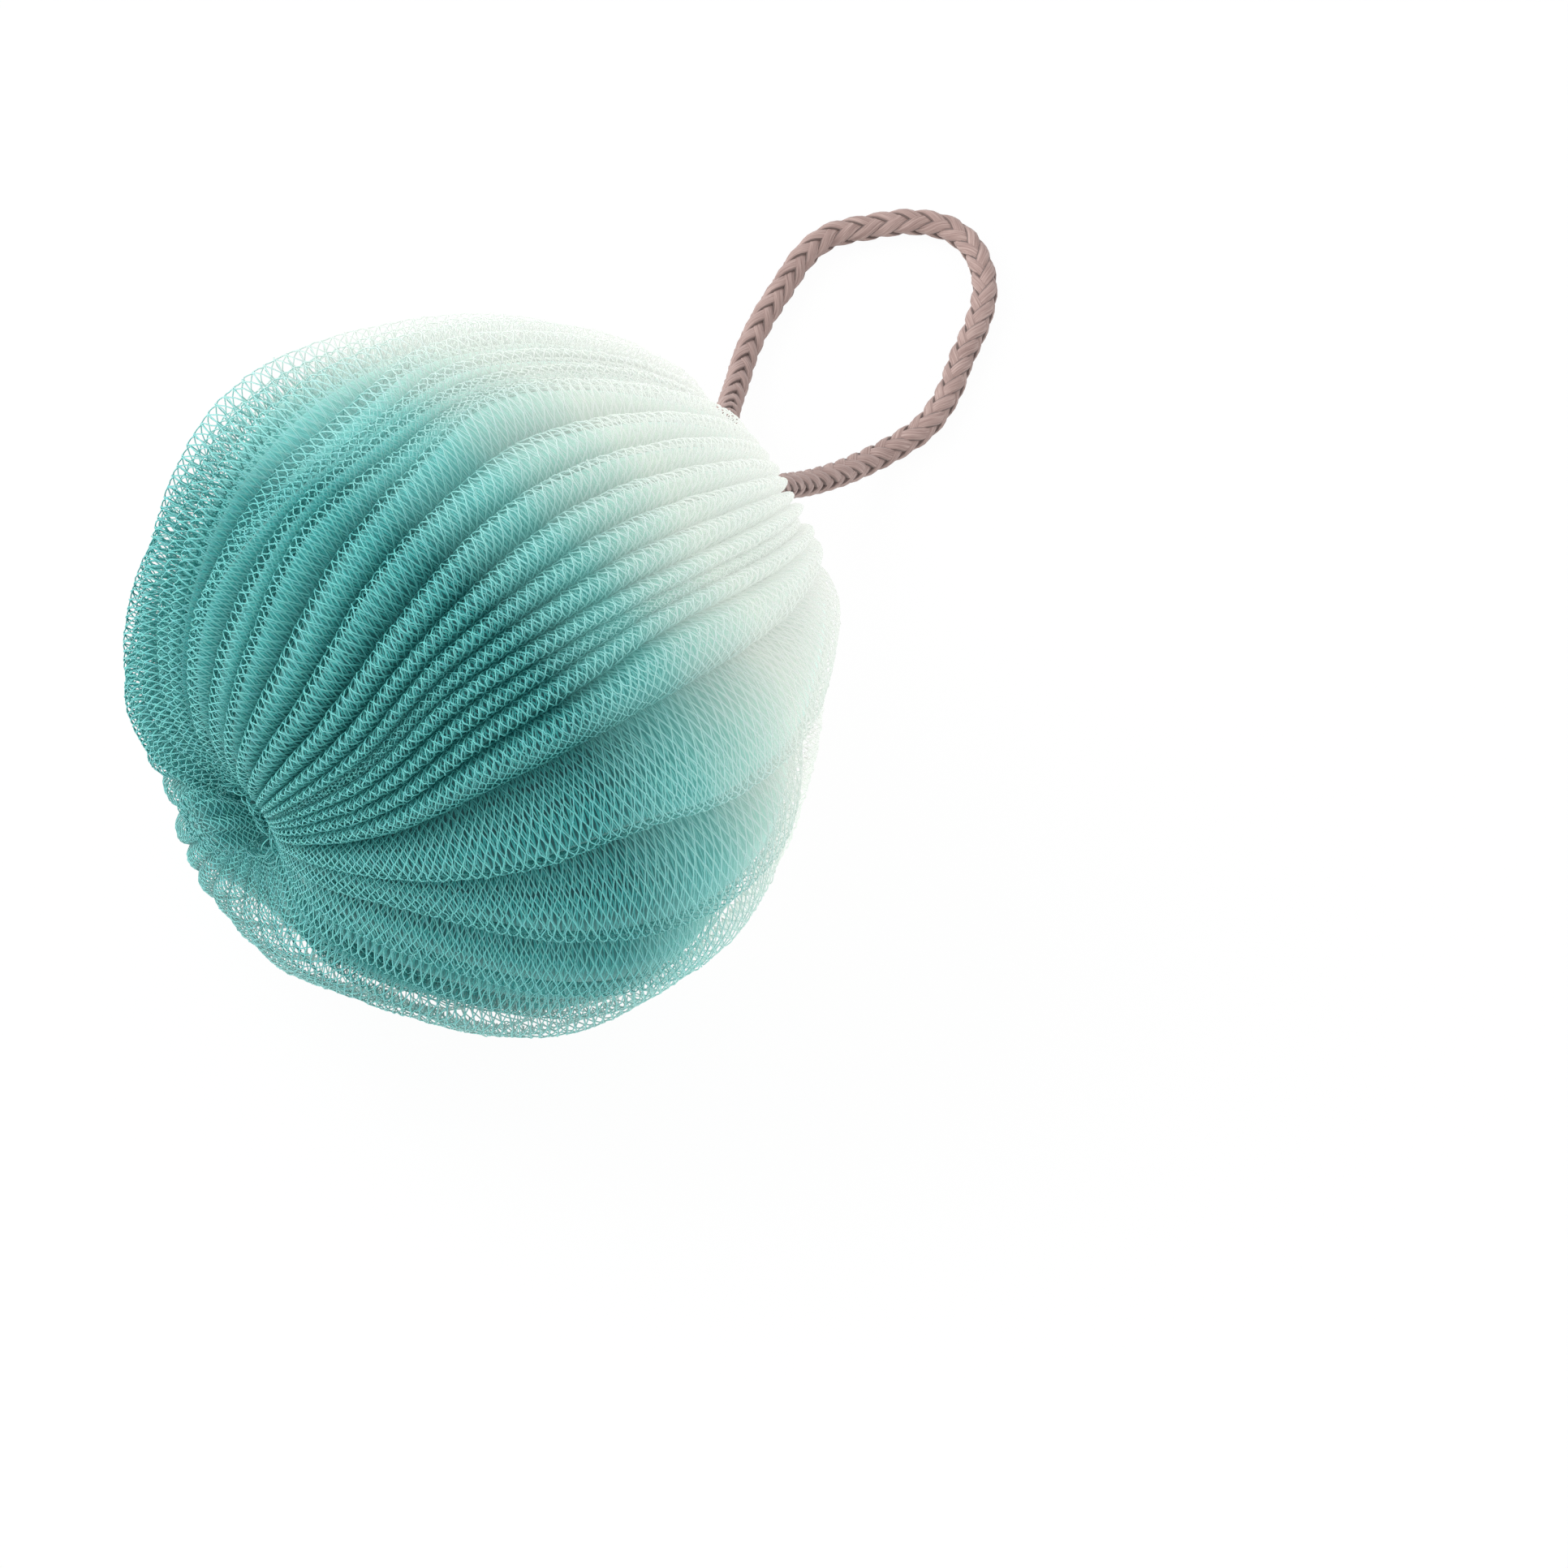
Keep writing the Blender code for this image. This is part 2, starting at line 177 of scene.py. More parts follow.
# The loose loops of the netting's free edges: how far along the axis from
# the ball's middle, facing, number, height, ring and seed.
PLAIN_END_LOOPS = (-0.0515, -1.0, 44, 0.0046, 0.0080, 11)
CORD_END_LOOPS = (0.0462, 1.0, 40, 0.0090, 0.0068, 12)
LOOP_POINTS = 15
LOOP_TURN = (-0.3, 0.3)
LOOP_FOOT = (0.7, 1.15)
LOOP_RISE = (0.6, 1.0)
LOOP_LEAN = (-0.2, 0.9)
LOOP_HALF_WIDTH = (0.0011, 0.0022)

# The cord's middle line, as in the part.
CORD_DIAMETER = 0.0050
LOOP_ROUTE = (
    (0.0595, 0.0050, 0.0638),
    (0.0633, 0.0078, 0.0608),
    (0.0675, 0.0135, 0.0525),
    (0.0755, 0.0250, 0.0390),
    (0.0860, 0.0383, 0.0245),
    (0.0973, 0.0515, 0.0105),
    (0.1050, 0.0587, 0.0052),
    (0.1118, 0.0645, 0.0031),
    (0.1189, 0.0689, 0.0028),
    (0.1265, 0.0725, 0.0028),
    (0.1341, 0.0758, 0.0028),
    (0.1406, 0.0765, 0.0028),
    (0.1471, 0.0739, 0.0028),
    (0.1538, 0.0703, 0.0028),
    (0.1583, 0.0652, 0.0028),
    (0.1594, 0.0594, 0.0028),
    (0.1578, 0.0537, 0.0028),
    (0.1543, 0.0485, 0.0028),
    (0.1489, 0.0439, 0.0028),
    (0.1416, 0.0393, 0.0028),
    (0.1352, 0.0348, 0.0028),
    (0.1276, 0.0315, 0.0028),
    (0.1204, 0.0308, 0.0031),
    (0.1130, 0.0300, 0.0052),
    (0.1045, 0.0280, 0.0102),
    (0.0949, 0.0250, 0.0182),
    (0.0845, 0.0202, 0.0300),
    (0.0760, 0.0140, 0.0400),
    (0.0705, 0.0082, 0.0480),
    (0.0660, 0.0028, 0.0535),
    (0.0617, -0.0020, 0.0566),
)

# The braid: five strands each way round, which cross so that four rows of
# slanting strands show along the cord. The knot's cord is drawn thinner.
BRAID_STRANDS = 5
BRAID_PITCH = 0.0220
BRAID_MIDDLE = 0.00126
BRAID_WAVE = 0.00052
STRAND_WIDE = 0.00122
STRAND_THICK = 0.00072
BRAID_STEP = 0.0009
BRAID_SIDES = 8
KNOT_CORD = 0.0046
KNOT_TURN = 0.0036
KNOT_TURN_RISE = 0.0016
KNOT_TURN_POINTS = 24
KNOT_LAP_POINTS = 7
KNOT_FACING = (0.80, 0.30, 0.10)
BIGHT_END = 0.0006
BIGHT_BEND = ((-0.1, 0.35, 0.45), (-0.45, 0.0, 0.0), (-0.1, -0.35, -0.45))

# The camera, as the photograph was taken.
VIEW_AZIMUTH = 38.16
VIEW_ELEVATION = 52.68
VIEW_DISTANCE = 9.0
FIELD_WIDTH = 0.2815
LOOK_RIGHT = 0.0533
LOOK_DOWN = 0.0198
SENSOR_WIDTH = 36.0

# Lamps: name, place, what each points at, size and power.
LAMPS = (
    ("key", (-0.50, 0.90, 1.30), (0.0, 0.0, 0.05), 1.1, 12.0),
    ("side", (-0.95, 0.75, 0.35), (0.0, 0.0, 0.06), 0.9, 4.5),
    ("fill", (-0.9, -1.0, 1.4), (0.0, 0.0, 0.05), 1.2, 5.0),
)
AMBIENT_LIGHT = 0.84
TABLE_HALF_WIDTH = 4.0
TABLE_TONE = (0.92, 0.92, 0.92, 1.0)
TABLE_SEEN_WHITE = 0.96


def srgb(red, green, blue, alpha=1.0):
    """Linear colour from 0 to 255 display values."""
    def linear(value):
        v = value / 255.0
        return v / 12.92 if v <= 0.04045 else ((v + 0.055) / 1.055) ** 2.4
    return (linear(red), linear(green), linear(blue), alpha)


# Colours, as stops from the plain gather, 0, to the cord's gather, 1.
THREAD_STOPS = (
    (0.00, srgb(101, 183, 180)),
    (0.36, srgb(103, 190, 187)),
    (0.48, srgb(135, 199, 195)),
    (0.60, srgb(163, 189, 184)),
    (0.72, srgb(168, 175, 171)),
    (1.00, srgb(176, 180, 176)),
)
# Painted glow: colour that the netting gives off as light, standing for light shining through it.
PAINTED_GLOW_STOPS = (
    (0.00, srgb(0, 32, 32)),
    (0.40, srgb(0, 40, 41)),
    (0.54, srgb(72, 117, 114)),
    (0.72, srgb(173, 182, 175)),
    (1.00, srgb(199, 200, 196)),
)
# Painted shade of the deep gaps between the inner folds.
FOLD_PAINTED_DEPTH_SHADE_STOPS = (
    (0.00, srgb(4, 74, 76)),
    (0.38, srgb(2, 64, 68)),
    (0.50, srgb(34, 128, 126)),
    (0.62, srgb(116, 180, 166)),
    (0.74, srgb(172, 192, 173)),
    (1.00, srgb(188, 194, 184)),
)
FOLD_LIGHT_STOPS = (
    (0.00, srgb(72, 174, 171)),
    (0.38, srgb(70, 180, 178)),
    (0.50, srgb(118, 198, 194)),
    (0.62, srgb(162, 196, 187)),
    (0.74, srgb(180, 191, 184)),
    (1.00, srgb(191, 195, 190)),
)
# Painted rim light on the inner folds, where they are seen edge on.
PAINTED_RIM_LIGHT_TINT = srgb(176, 222, 218)

# Painted light from the table: colour added to the glow of the netting's lowest part, as if light from
# the table shone through it.
PAINTED_TABLE_LIGHT = srgb(112, 114, 110)
PAINTED_LIGHT_TOP = 0.050
PAINTED_LIGHT_FULL = 0.020

# The dye's fade: it slants and curves across the ball and drifts in clouds.
DYE_SLANT = 0.16
DYE_CURVE = 1.1
DYE_DRIFT = 0.012
DYE_SHIFT = -0.002
DYE_CLOUD = 38.0
DYE_CLOUD_DETAIL = 3.0

# The finish of the threads, of the inner folds and of the cord, with the painted shade in their valleys
# and grooves and the inner folds' painted rim light.
THREAD_GRAIN = 900.0
THREAD_MOTTLE = 0.18
THREAD_PAINTED_SHADE = (0.62, 1.0)
THREAD_ROUGHNESS = (0.34, 0.58)
LATTICE_CELLS = 3.0
LATTICE_EDGE = 0.20
LATTICE_CORE = 0.09
FOLD_CLOUD = 220.0
FOLD_FACING = 0.35
FOLD_SPREAD = 0.4
FOLD_PALE = 0.62
FOLD_PAINTED_RIM_POWER = 2.0
FOLD_PAINTED_RIM_LIGHT = 0.75
FOLD_PAINTED_SHADE = (0.55, 1.0)
CORD_TONES = (
    (0.25, srgb(134, 109, 104)),
    (0.50, srgb(164, 139, 133)),
    (0.75, srgb(192, 168, 161)),
)
CORD_FIBRE_STRETCH = (220.0, 26.0, 1.0)
CORD_CLOUD = 160.0
CORD_MOTTLE = 0.30
GROOVE_PAINTED_SHADE_START = 0.84
GROOVE_PAINTED_SHADE = 0.40


# Meshes

def mesh_object(name, points, quads, smooth=True):
    """Object from arrays of points and of four-cornered faces."""
    data = bpy.data.meshes.new(name)
    data.vertices.add(len(points))
    data.vertices.foreach_set("co", np.asarray(points, np.float32).ravel())
    corners = np.asarray(quads, np.int32).ravel()
    data.loops.add(len(corners))
    data.loops.foreach_set("vertex_index", corners)
    data.polygons.add(len(quads))
    data.polygons.foreach_set("loop_start", np.arange(0, len(corners), 4, dtype=np.int32))
    data.polygons.foreach_set("use_smooth", np.full(len(quads), smooth))
    data.update(calc_edges=True)
    made = bpy.data.objects.new(name, data)
    bpy.context.scene.collection.objects.link(made)
    return made


def point_value(made, name, values):
    """Stores one number on each point of the mesh for its material."""
    attribute = made.data.attributes.new(name, "FLOAT", "POINT")
    attribute.data.foreach_set("value", np.asarray(values, np.float32).ravel())


def corner_uv(made, uv_of_corner):
    """Gives the mesh its surface coordinates, one pair for each face corner."""
    layer = made.data.uv_layers.new(name="UVMap")
    layer.data.foreach_set("uv", np.asarray(uv_of_corner, np.float32).ravel())


# The netting's form

def smooth_through(xs, ys, x):
    """Values at x of a smooth curve through the points, held at both ends."""
    xs = np.asarray(xs, float)
    ys = np.asarray(ys, float)
    order = np.arange(len(xs))
    low = np.maximum(order - 1, 0)
    high = np.minimum(order + 1, len(xs) - 1)
    slopes = (ys[high] - ys[low]) / (xs[high] - xs[low])
    x = np.clip(x, xs[0], xs[-1])
    i = np.clip(np.searchsorted(xs, x, side="right") - 1, 0, len(xs) - 2)
    span = xs[i + 1] - xs[i]
    t = (x - xs[i]) / span
    return (
        (2 * t ** 3 - 3 * t ** 2 + 1) * ys[i]
        + (t ** 3 - 2 * t ** 2 + t) * slopes[i] * span
        + (3 * t ** 2 - 2 * t ** 3) * ys[i + 1]
        + (t ** 3 - t ** 2) * slopes[i + 1] * span
    )


def pleats_at(stations):
    """Crest angles, crest heights and valley shares of every pleat."""
    crests = []
    heights = []
    shares = []
    for angles, tall, share in VISIBLE_PLEATS + (FLOOR_PLEAT,):
        crests.append(smooth_through(STATIONS, angles, stations))
        heights.append(smooth_through(STATIONS, tall, stations))
        shares.append(share)
    floor = (crests.pop(), heights.pop(), shares.pop())
    first, last = crests[0], crests[-1]
    for start, end, count in (
        (last, floor[0], PLEATS_BEFORE_FLOOR),
        (floor[0], first + 360.0, PLEATS_AFTER_FLOOR),
    ):
        for k in range(1, count + 1):
            fade = math.sin(math.pi * k / (count + 1))
            sway = HIDDEN_PLEAT_SWAY * fade * np.sin(2.4 * k + np.radians(2.2 * stations))
            crests.append(start + (end - start) * k / (count + 1) + sway)
            heights.append(np.full_like(stations, 0.9 + 0.1 * math.cos(3.1 * k)))
            shares.append(0.5)
        if start is last:
            crests.append(floor[0])
            heights.append(floor[1])
            shares.append(floor[2])
    return np.array(crests).T, np.array(heights).T, np.array(shares)


def depth_share(stations):
    """Share of the full pleat depth, which grows from nothing at a gather."""
    share = np.sin(np.radians(stations)) / math.sin(math.radians(55.0))
    return np.minimum(1.0, share) ** 0.8


def pleat_reach(stations, angles):
    """Depth of a wide pleat there, less at the gathers and where it lies flat."""
    flat = np.zeros(angles.shape)
    for where, side, reach, spread, amount in FLATTER_PLACES:
        turn = (angles - side + 180.0) % 360.0 - 180.0
        near = np.exp(-((stations - where) / reach) ** 2)[:, None]
        flat += amount * near * np.exp(-(turn / spread) ** 2)
    return PLEAT_DEPTH * depth_share(stations)[:, None] * (1.0 - np.minimum(flat, 0.9))


def bulge_at(stations, angles, inner):
    """Swell of the form there, as a share of the radius."""
    total = np.zeros(np.broadcast(stations, angles).shape)
    for where, side, reach, spread, amount in BULGES + (HOLLOW_PLACES if inner else ()):
        turn = (angles - side + 180.0) % 360.0 - 180.0
        total += amount * np.exp(-((stations - where) / reach) ** 2 - (turn / spread) ** 2)
    return total


def surface_points(stations, angles, heights, inner=False, clear=THREAD_RADIUS):
    """Points of the netting; heights are measured from the round form."""
    c = np.radians(stations)
    dents = (
        PLAIN_END_DENT * np.exp(-(stations / DENT_REACH) ** 2)
        + KNOT_END_DENT * np.exp(-((180.0 - stations) / DENT_REACH) ** 2)
    )
    lift = heights + BALL_RADIUS * bulge_at(stations, angles, inner)
    along = -np.cos(c) * (BALL_RADIUS * (1.0 - dents) + lift)
    out = np.sin(c) * (BALL_RADIUS + lift)
    turn = np.radians(angles + VIEW_ROLL)
    tall = np.maximum(clear, AXIS_HEIGHT + out * np.cos(turn))
    return np.stack([along, -out * np.sin(turn), tall], axis=-1)


def pleat_profile(share, width):
    """Rounded section of a pleat, from 1 at its crest to 0 at its valley."""
    inside = np.minimum(1.0, np.abs(share) / width)
    return (1.0 - inside ** 2.4) ** 0.75


def half_pleat_lines(stations, drop, width, inner=False):
    """Section lines of every half pleat, crest first, for each station.

    Returns points shaped (stations, pleats, 2, points, 3) and the height of
    each point between the valley, 0, and the crest, 1.
    """
    crests, tall, shares = pleats_at(stations)
    count = crests.shape[1]
    gaps = (np.roll(crests, -1, axis=1) - crests) % 360.0
    valleys = crests + gaps * shares
    depths = pleat_reach(stations, valleys) * (1.0 - np.exp(-gaps / NARROW_PLEAT))
    before = np.roll(valleys, 1, axis=1)
    before[:, 0] -= 360.0
    depths_before = np.roll(depths, 1, axis=1)
    crest_heights = -0.85 * 0.5 * (depths + depths_before) * (1.0 - tall)
    share = np.linspace(0.0, 1.0, SECTION_POINTS) ** 0.8
    profile = pleat_profile(share, width)
    lowered = np.minimum(drop, 0.5 * drop + 0.25 * depths)
    lines = np.zeros((len(stations), count, 2, SECTION_POINTS, 3))
    levels = np.zeros((len(stations), count, 2, SECTION_POINTS))
    for side, edge, deep in ((0, before, depths_before), (1, valleys, depths)):
        low = -deep - 0.35 * drop
        high = crest_heights - lowered
        heights = low[..., None] + (high - low)[..., None] * profile
        angles = crests[..., None] + share * (edge - crests)[..., None]
        clear = THREAD_RADIUS + 0.4 * drop
        lines[:, :, side] = surface_points(stations[:, None, None], angles, heights, inner, clear)
        levels[:, :, side] = profile
    return lines, levels


def pleat_gaps(stations):
    """Angle from each crest to the next."""
    crests = pleats_at(stations)[0]
    return (np.roll(crests, -1, axis=1) - crests) % 360.0


def walk(lines, levels, steps):
    """Points at even shares of each line's length, given as shares."""
    lengths = np.linalg.norm(np.diff(lines, axis=-2), axis=-1)
    run = np.concatenate([np.zeros(lengths.shape[:-1] + (1,)), np.cumsum(lengths, axis=-1)], axis=-1)
    run /= run[..., -1:]
    points = []
    heights = []
    for step in steps:
        k = np.clip(np.sum(run <= step, axis=-1) - 1, 0, run.shape[-1] - 2)[..., None]
        low = np.take_along_axis(run, k, axis=-1)
        high = np.take_along_axis(run, k + 1, axis=-1)
        t = (step - low) / np.maximum(high - low, 1e-12)
        a = np.take_along_axis(lines, k[..., None], axis=-2)[..., 0, :]
        b = np.take_along_axis(lines, k[..., None] + 1, axis=-2)[..., 0, :]
        points.append(a + (b - a) * t)
        u = np.take_along_axis(levels, k, axis=-1)[..., 0]
        v = np.take_along_axis(levels, k + 1, axis=-1)[..., 0]
        heights.append(u + (v - u) * t[..., 0])
    return np.stack(points, axis=-2), np.stack(heights, axis=-1)


def strand_stations():
    """Stations of the netting's rows, closer together at the gathers."""
    share = np.linspace(0.0, 1.0, 2 * STRANDS + 1)
    share = share - GATHER_CROWDING * np.sin(2.0 * np.pi * share)
    return NECK_ANGLE + (180.0 - 2.0 * NECK_ANGLE) * share


def round_the_ball(stations, drop, width, narrow_marks, broad_marks, shift, inner):
    """Grid of points once round the ball for each station.

    Returns the points, each column's zigzag value and each point's height.
    """
    lines, levels = half_pleat_lines(stations, drop, width, inner)
    broad = np.median(pleat_gaps(stations), axis=0) > BROAD_PLEAT
    columns = []
    waves = []
    heights = []
    for pleat in range(lines.shape[1]):
        for side in (0, 1):
            marks = broad_marks if broad[pleat - 1 + side] else narrow_marks
            cells = marks[-1]
            marks = marks[1:-1] if side else marks[::-1]
            points, tall = walk(lines[:, pleat, side], levels[:, pleat, side], [m / cells for m in marks])
            columns.append(points)
            heights.append(tall)
            way = 1.0 if side else -1.0
            waves.extend(math.cos(math.pi * (way * m + shift)) for m in marks)
    return np.concatenate(columns, axis=1), np.array(waves), np.concatenate(heights, axis=1)


def thread_rings(points, towards, radius):
    """Rings of points round closed lines; towards lies across each line."""
    tangent = np.roll(points, -1, axis=1) - np.roll(points, 1, axis=1)
    tangent /= np.linalg.norm(tangent, axis=-1, keepdims=True)
    side = towards - np.sum(towards * tangent, axis=-1, keepdims=True) * tangent
    side /= np.maximum(np.linalg.norm(side, axis=-1, keepdims=True), 1e-12)
    normal = np.cross(side, tangent)
    rings = []
    for k in range(THREAD_SIDES):
        a = 2.0 * math.pi * k / THREAD_SIDES + math.pi / 2.0
        rings.append(points + radius * (math.cos(a) * side + math.sin(a) * normal))
    return np.stack(rings, axis=2)


def thread_mesh(name, rings, heights):
    """Mesh of closed threads: rings (threads, points, sides, xyz)."""
    threads, count = rings.shape[:2]
    base = np.arange(threads * count * THREAD_SIDES).reshape(threads, count, THREAD_SIDES)
    ahead = np.roll(base, -1, axis=1)
    quads = np.stack(
        [base, np.roll(base, -1, axis=2), np.roll(ahead, -1, axis=2), ahead], axis=-1
    ).reshape(-1, 4)
    made = mesh_object(name, rings.reshape(-1, 3), quads)
    point_value(made, "height", np.repeat(heights[..., None], THREAD_SIDES, axis=-1))
    return made


def wander(grid, stations, seed):
    """Small uneven moves of the netting's knots, less at the gathers."""
    pick = np.random.default_rng(seed)
    moves = pick.normal(0.0, NET_WANDER, grid.shape)
    moves = 0.6 * moves + 0.4 * np.roll(moves, 1, axis=1)
    slow = pick.uniform(0.0, 2.0 * np.pi, (3, 3))
    rows = np.arange(grid.shape[0])[:, None]
    turns = np.arange(grid.shape[1])[None, :]
    for k in range(3):
        wave = np.sin(rows * 0.11 + turns * 0.045 * (k + 1) + slow[k, 0])
        moves[..., k] += 0.8 * NET_WANDER * wave * np.sin(rows * 0.05 * (k + 1) + slow[k, 1])
    calm = np.clip(np.sin(np.radians(stations)) / 0.7, 0.2, 1.0)
    moved = grid + moves * calm[:, None, None]
    moved[..., 2] = np.maximum(moved[..., 2], THREAD_RADIUS)
    return moved


def net_layer(names, stations, drop, width, narrow_marks, broad_marks, shift, inner, seed):
    """One layer of netting, in as many bands along the axis as names."""
    grid, waves, heights = round_the_ball(
        stations, drop, width, narrow_marks, broad_marks, shift, inner)
    grid = wander(grid, stations, seed)
    rows = grid[1:-1:2]
    ahead = grid[2::2]
    behind = grid[:-2:2]
    sign = np.where(np.arange(len(rows)) % 2 == 0, 1.0, -1.0)[:, None]
    swing = NODE_REACH * sign * waves[None, :]
    threads = rows + np.where(
        swing[..., None] > 0.0,
        swing[..., None] * (ahead - rows),
        -swing[..., None] * (behind - rows),
    )
    rings = thread_rings(threads, ahead - behind, THREAD_RADIUS)
    made = []
    edges = np.linspace(0, len(rows), len(names) + 1).astype(int)
    for name, low, high in zip(names, edges, edges[1:]):
        made.append(thread_mesh(name, rings[low:high], heights[1:-1:2][low:high]))
    return made


def closed_skin(name, grid, first_tip, last_tip):
    """Skin of rings along the axis, closed to a tip at both ends."""
    rows, count = grid.shape[:2]
    points = np.concatenate([grid.reshape(-1, 3), [first_tip, last_tip]])
    base = np.arange(rows * count).reshape(rows, count)
    nxt = np.roll(base, -1, axis=1)
    quads = np.stack([base[:-1], base[1:], nxt[1:], nxt[:-1]], axis=-1).reshape(-1, 4)
    faces = [tuple(q) for q in quads]
    start, end = rows * count, rows * count + 1
    faces += [(start, int(base[0, k]), int(nxt[0, k])) for k in range(count)]
    faces += [(end, int(nxt[-1, k]), int(base[-1, k])) for k in range(count)]
    data = bpy.data.meshes.new(name)
    data.from_pydata([tuple(p) for p in points], [], faces)
    data.polygons.foreach_set("use_smooth", np.full(len(faces), True))
    data.update()
    made = bpy.data.objects.new(name, data)
    bpy.context.scene.collection.objects.link(made)
    return made


def packed_share(points):
    """How closely the folds are taken to lie, which sets their painted shade: 0 where they gape and are
    painted dark, 1 where they lie flat.
    """
    turn = np.degrees(np.arctan2(-points[:, 1], points[:, 2] - AXIS_HEIGHT)) - VIEW_ROLL
    turn = (turn + 180.0) % 360.0 - 180.0
    from_gap = np.minimum(np.abs(turn - PAINTED_GAP_SHADE_MIDDLE), 360.0 - np.abs(turn - PAINTED_GAP_SHADE_MIDDLE))
    share = np.clip((from_gap - PAINTED_GAP_SHADE_NEAR) / (PAINTED_GAP_SHADE_FAR - PAINTED_GAP_SHADE_NEAR), 0.0, 1.0)
    return share * share * (3.0 - 2.0 * share)


def build_inner_folds(offset):
    """The netting's inner folds, which close the view into the ball."""
    stations = np.linspace(NECK_ANGLE, 180.0 - NECK_ANGLE, FOLD_STATIONS)
    lines, levels = half_pleat_lines(stations, FOLD_DROP, FOLD_WIDTH, inner=True)
    up = (1.0,) + CREST_TO_VALLEY[::-1] + (0.0,)
    columns = []
    heights = []
    for pleat in range(lines.shape[1]):
        for side, steps in ((0, up), (1, CREST_TO_VALLEY)):
            points, tall = walk(lines[:, pleat, side], levels[:, pleat, side], steps)
            columns.append(points)
            heights.append(tall)
    grid = np.concatenate(columns, axis=1) + offset
    tall = np.concatenate(heights, axis=1)
    made = closed_skin("net_inner_folds", grid, grid[0].mean(axis=0), grid[-1].mean(axis=0))
    point_value(made, "height", np.concatenate([tall.ravel(), [0.2, 0.2]]))
    rows = np.repeat(np.linspace(0.0, 1.0, len(stations))[:, None], grid.shape[1], axis=1)
    turns = np.repeat(np.linspace(0.0, 1.0, grid.shape[1])[None, :], len(stations), axis=0)
    point_value(made, "row", np.concatenate([rows.ravel(), [0.0, 1.0]]))
    point_value(made, "turn", np.concatenate([turns.ravel(), [0.0, 0.0]]))
    corners = np.array([tuple(v.co) for v in made.data.vertices])
    point_value(made, "packed", packed_share(corners - offset))
    return made


def tuft_grid(rows, columns, size, offset):
    """Grid of points on the puckered net end, from the neck to the tip."""
    neck = surface_points(np.array([NECK_ANGLE]), np.array([0.0]), np.array([0.0]))[0, 0]
    share = np.linspace(0.0, 1.0, rows)
    along = smooth_through(TUFT_SHARES, TUFT_ALONG, share)
    wide = smooth_through(TUFT_SHARES, TUFT_WIDE, share)
    lobed = smooth_through(TUFT_LOBED_SHARES, TUFT_LOBED, share)
    turn = np.arange(columns) * 2.0 * np.pi / columns
    lobes = TUFT_LOBE_DEPTH * np.cos(TUFT_LOBES * turn + 0.9 * np.sin(turn))
    out = size * TUFT_RADIUS * wide[:, None] * (1.0 + lobed[:, None] * lobes[None, :])
    x = np.repeat((neck - size * TUFT_LENGTH * along)[:, None], columns, axis=1)
    y = size * TUFT_LEAN * along[:, None] + out * np.sin(turn)
    z = AXIS_HEIGHT + out * np.cos(turn)
    return np.stack([x, y, z], axis=-1) + offset


def build_tuft(offset):
    """The netting's puckered end at the plain gather, threads over a skin."""
    fine_rows = 2 * TUFT_ROWS + 1
    even = tuft_grid(fine_rows, TUFT_COLUMNS, 1.0, offset)
    grid = wander(even, np.full(fine_rows, TUFT_STATION), TUFT_SEED)
    middle = grid[1:-1:2]
    ahead = grid[2::2]
    behind = grid[:-2:2]
    sign = np.where(np.arange(TUFT_ROWS) % 2 == 0, 1.0, -1.0)[:, None]
    wave = np.cos(0.5 * np.pi * np.arange(TUFT_COLUMNS))[None, :]
    swing = (NODE_REACH * sign * wave)[..., None]
    threads = middle + np.where(swing > 0.0, swing * (ahead - middle), -swing * (behind - middle))
    rings = thread_rings(threads, ahead - behind, THREAD_RADIUS)
    net = thread_mesh("net_end_threads", rings, np.full(threads.shape[:2], 0.75))
    inner = tuft_grid(TUFT_FOLD_ROWS, TUFT_FOLD_COLUMNS, TUFT_FOLD_SIZE, offset)
    skin = closed_skin("net_end_folds", inner, inner[0].mean(axis=0), inner[-1].mean(axis=0))
    count = len(skin.data.vertices)
    rows_at = np.repeat(np.linspace(0.0, 0.10, TUFT_FOLD_ROWS), TUFT_FOLD_COLUMNS)
    turns_at = np.tile(np.arange(TUFT_FOLD_COLUMNS) / TUFT_FOLD_COLUMNS * 0.5, TUFT_FOLD_ROWS)
    point_value(skin, "height", np.full(count, 0.5))
    # The end's folds are mostly painted with the dark shade of deep gaps.
    point_value(skin, "packed", np.full(count, 0.25))
    point_value(skin, "row", np.concatenate([rows_at, [0.0, 0.1]]))
    point_value(skin, "turn", np.concatenate([turns_at, [0.0, 0.0]]))
    return net, skin


def open_thread(points, radius):
    """Thin tube along an open line, as points and four-cornered faces."""
    tangent = np.gradient(points, axis=0)
    tangent /= np.linalg.norm(tangent, axis=1, keepdims=True)
    side = np.cross(tangent, (0.21, 0.83, 0.52))
    side /= np.linalg.norm(side, axis=1, keepdims=True)
    up = np.cross(tangent, side)
    turns = [2.0 * math.pi * k / THREAD_SIDES for k in range(THREAD_SIDES)]
    ring = [points + radius * (math.cos(a) * side + math.sin(a) * up) for a in turns]
    base = np.arange(len(points) * THREAD_SIDES).reshape(-1, THREAD_SIDES)
    nxt = np.roll(base, -1, axis=1)
    quads = np.stack([base[:-1], nxt[:-1], nxt[1:], base[1:]], axis=-1).reshape(-1, 4)
    return np.stack(ring, axis=1).reshape(-1, 3), quads


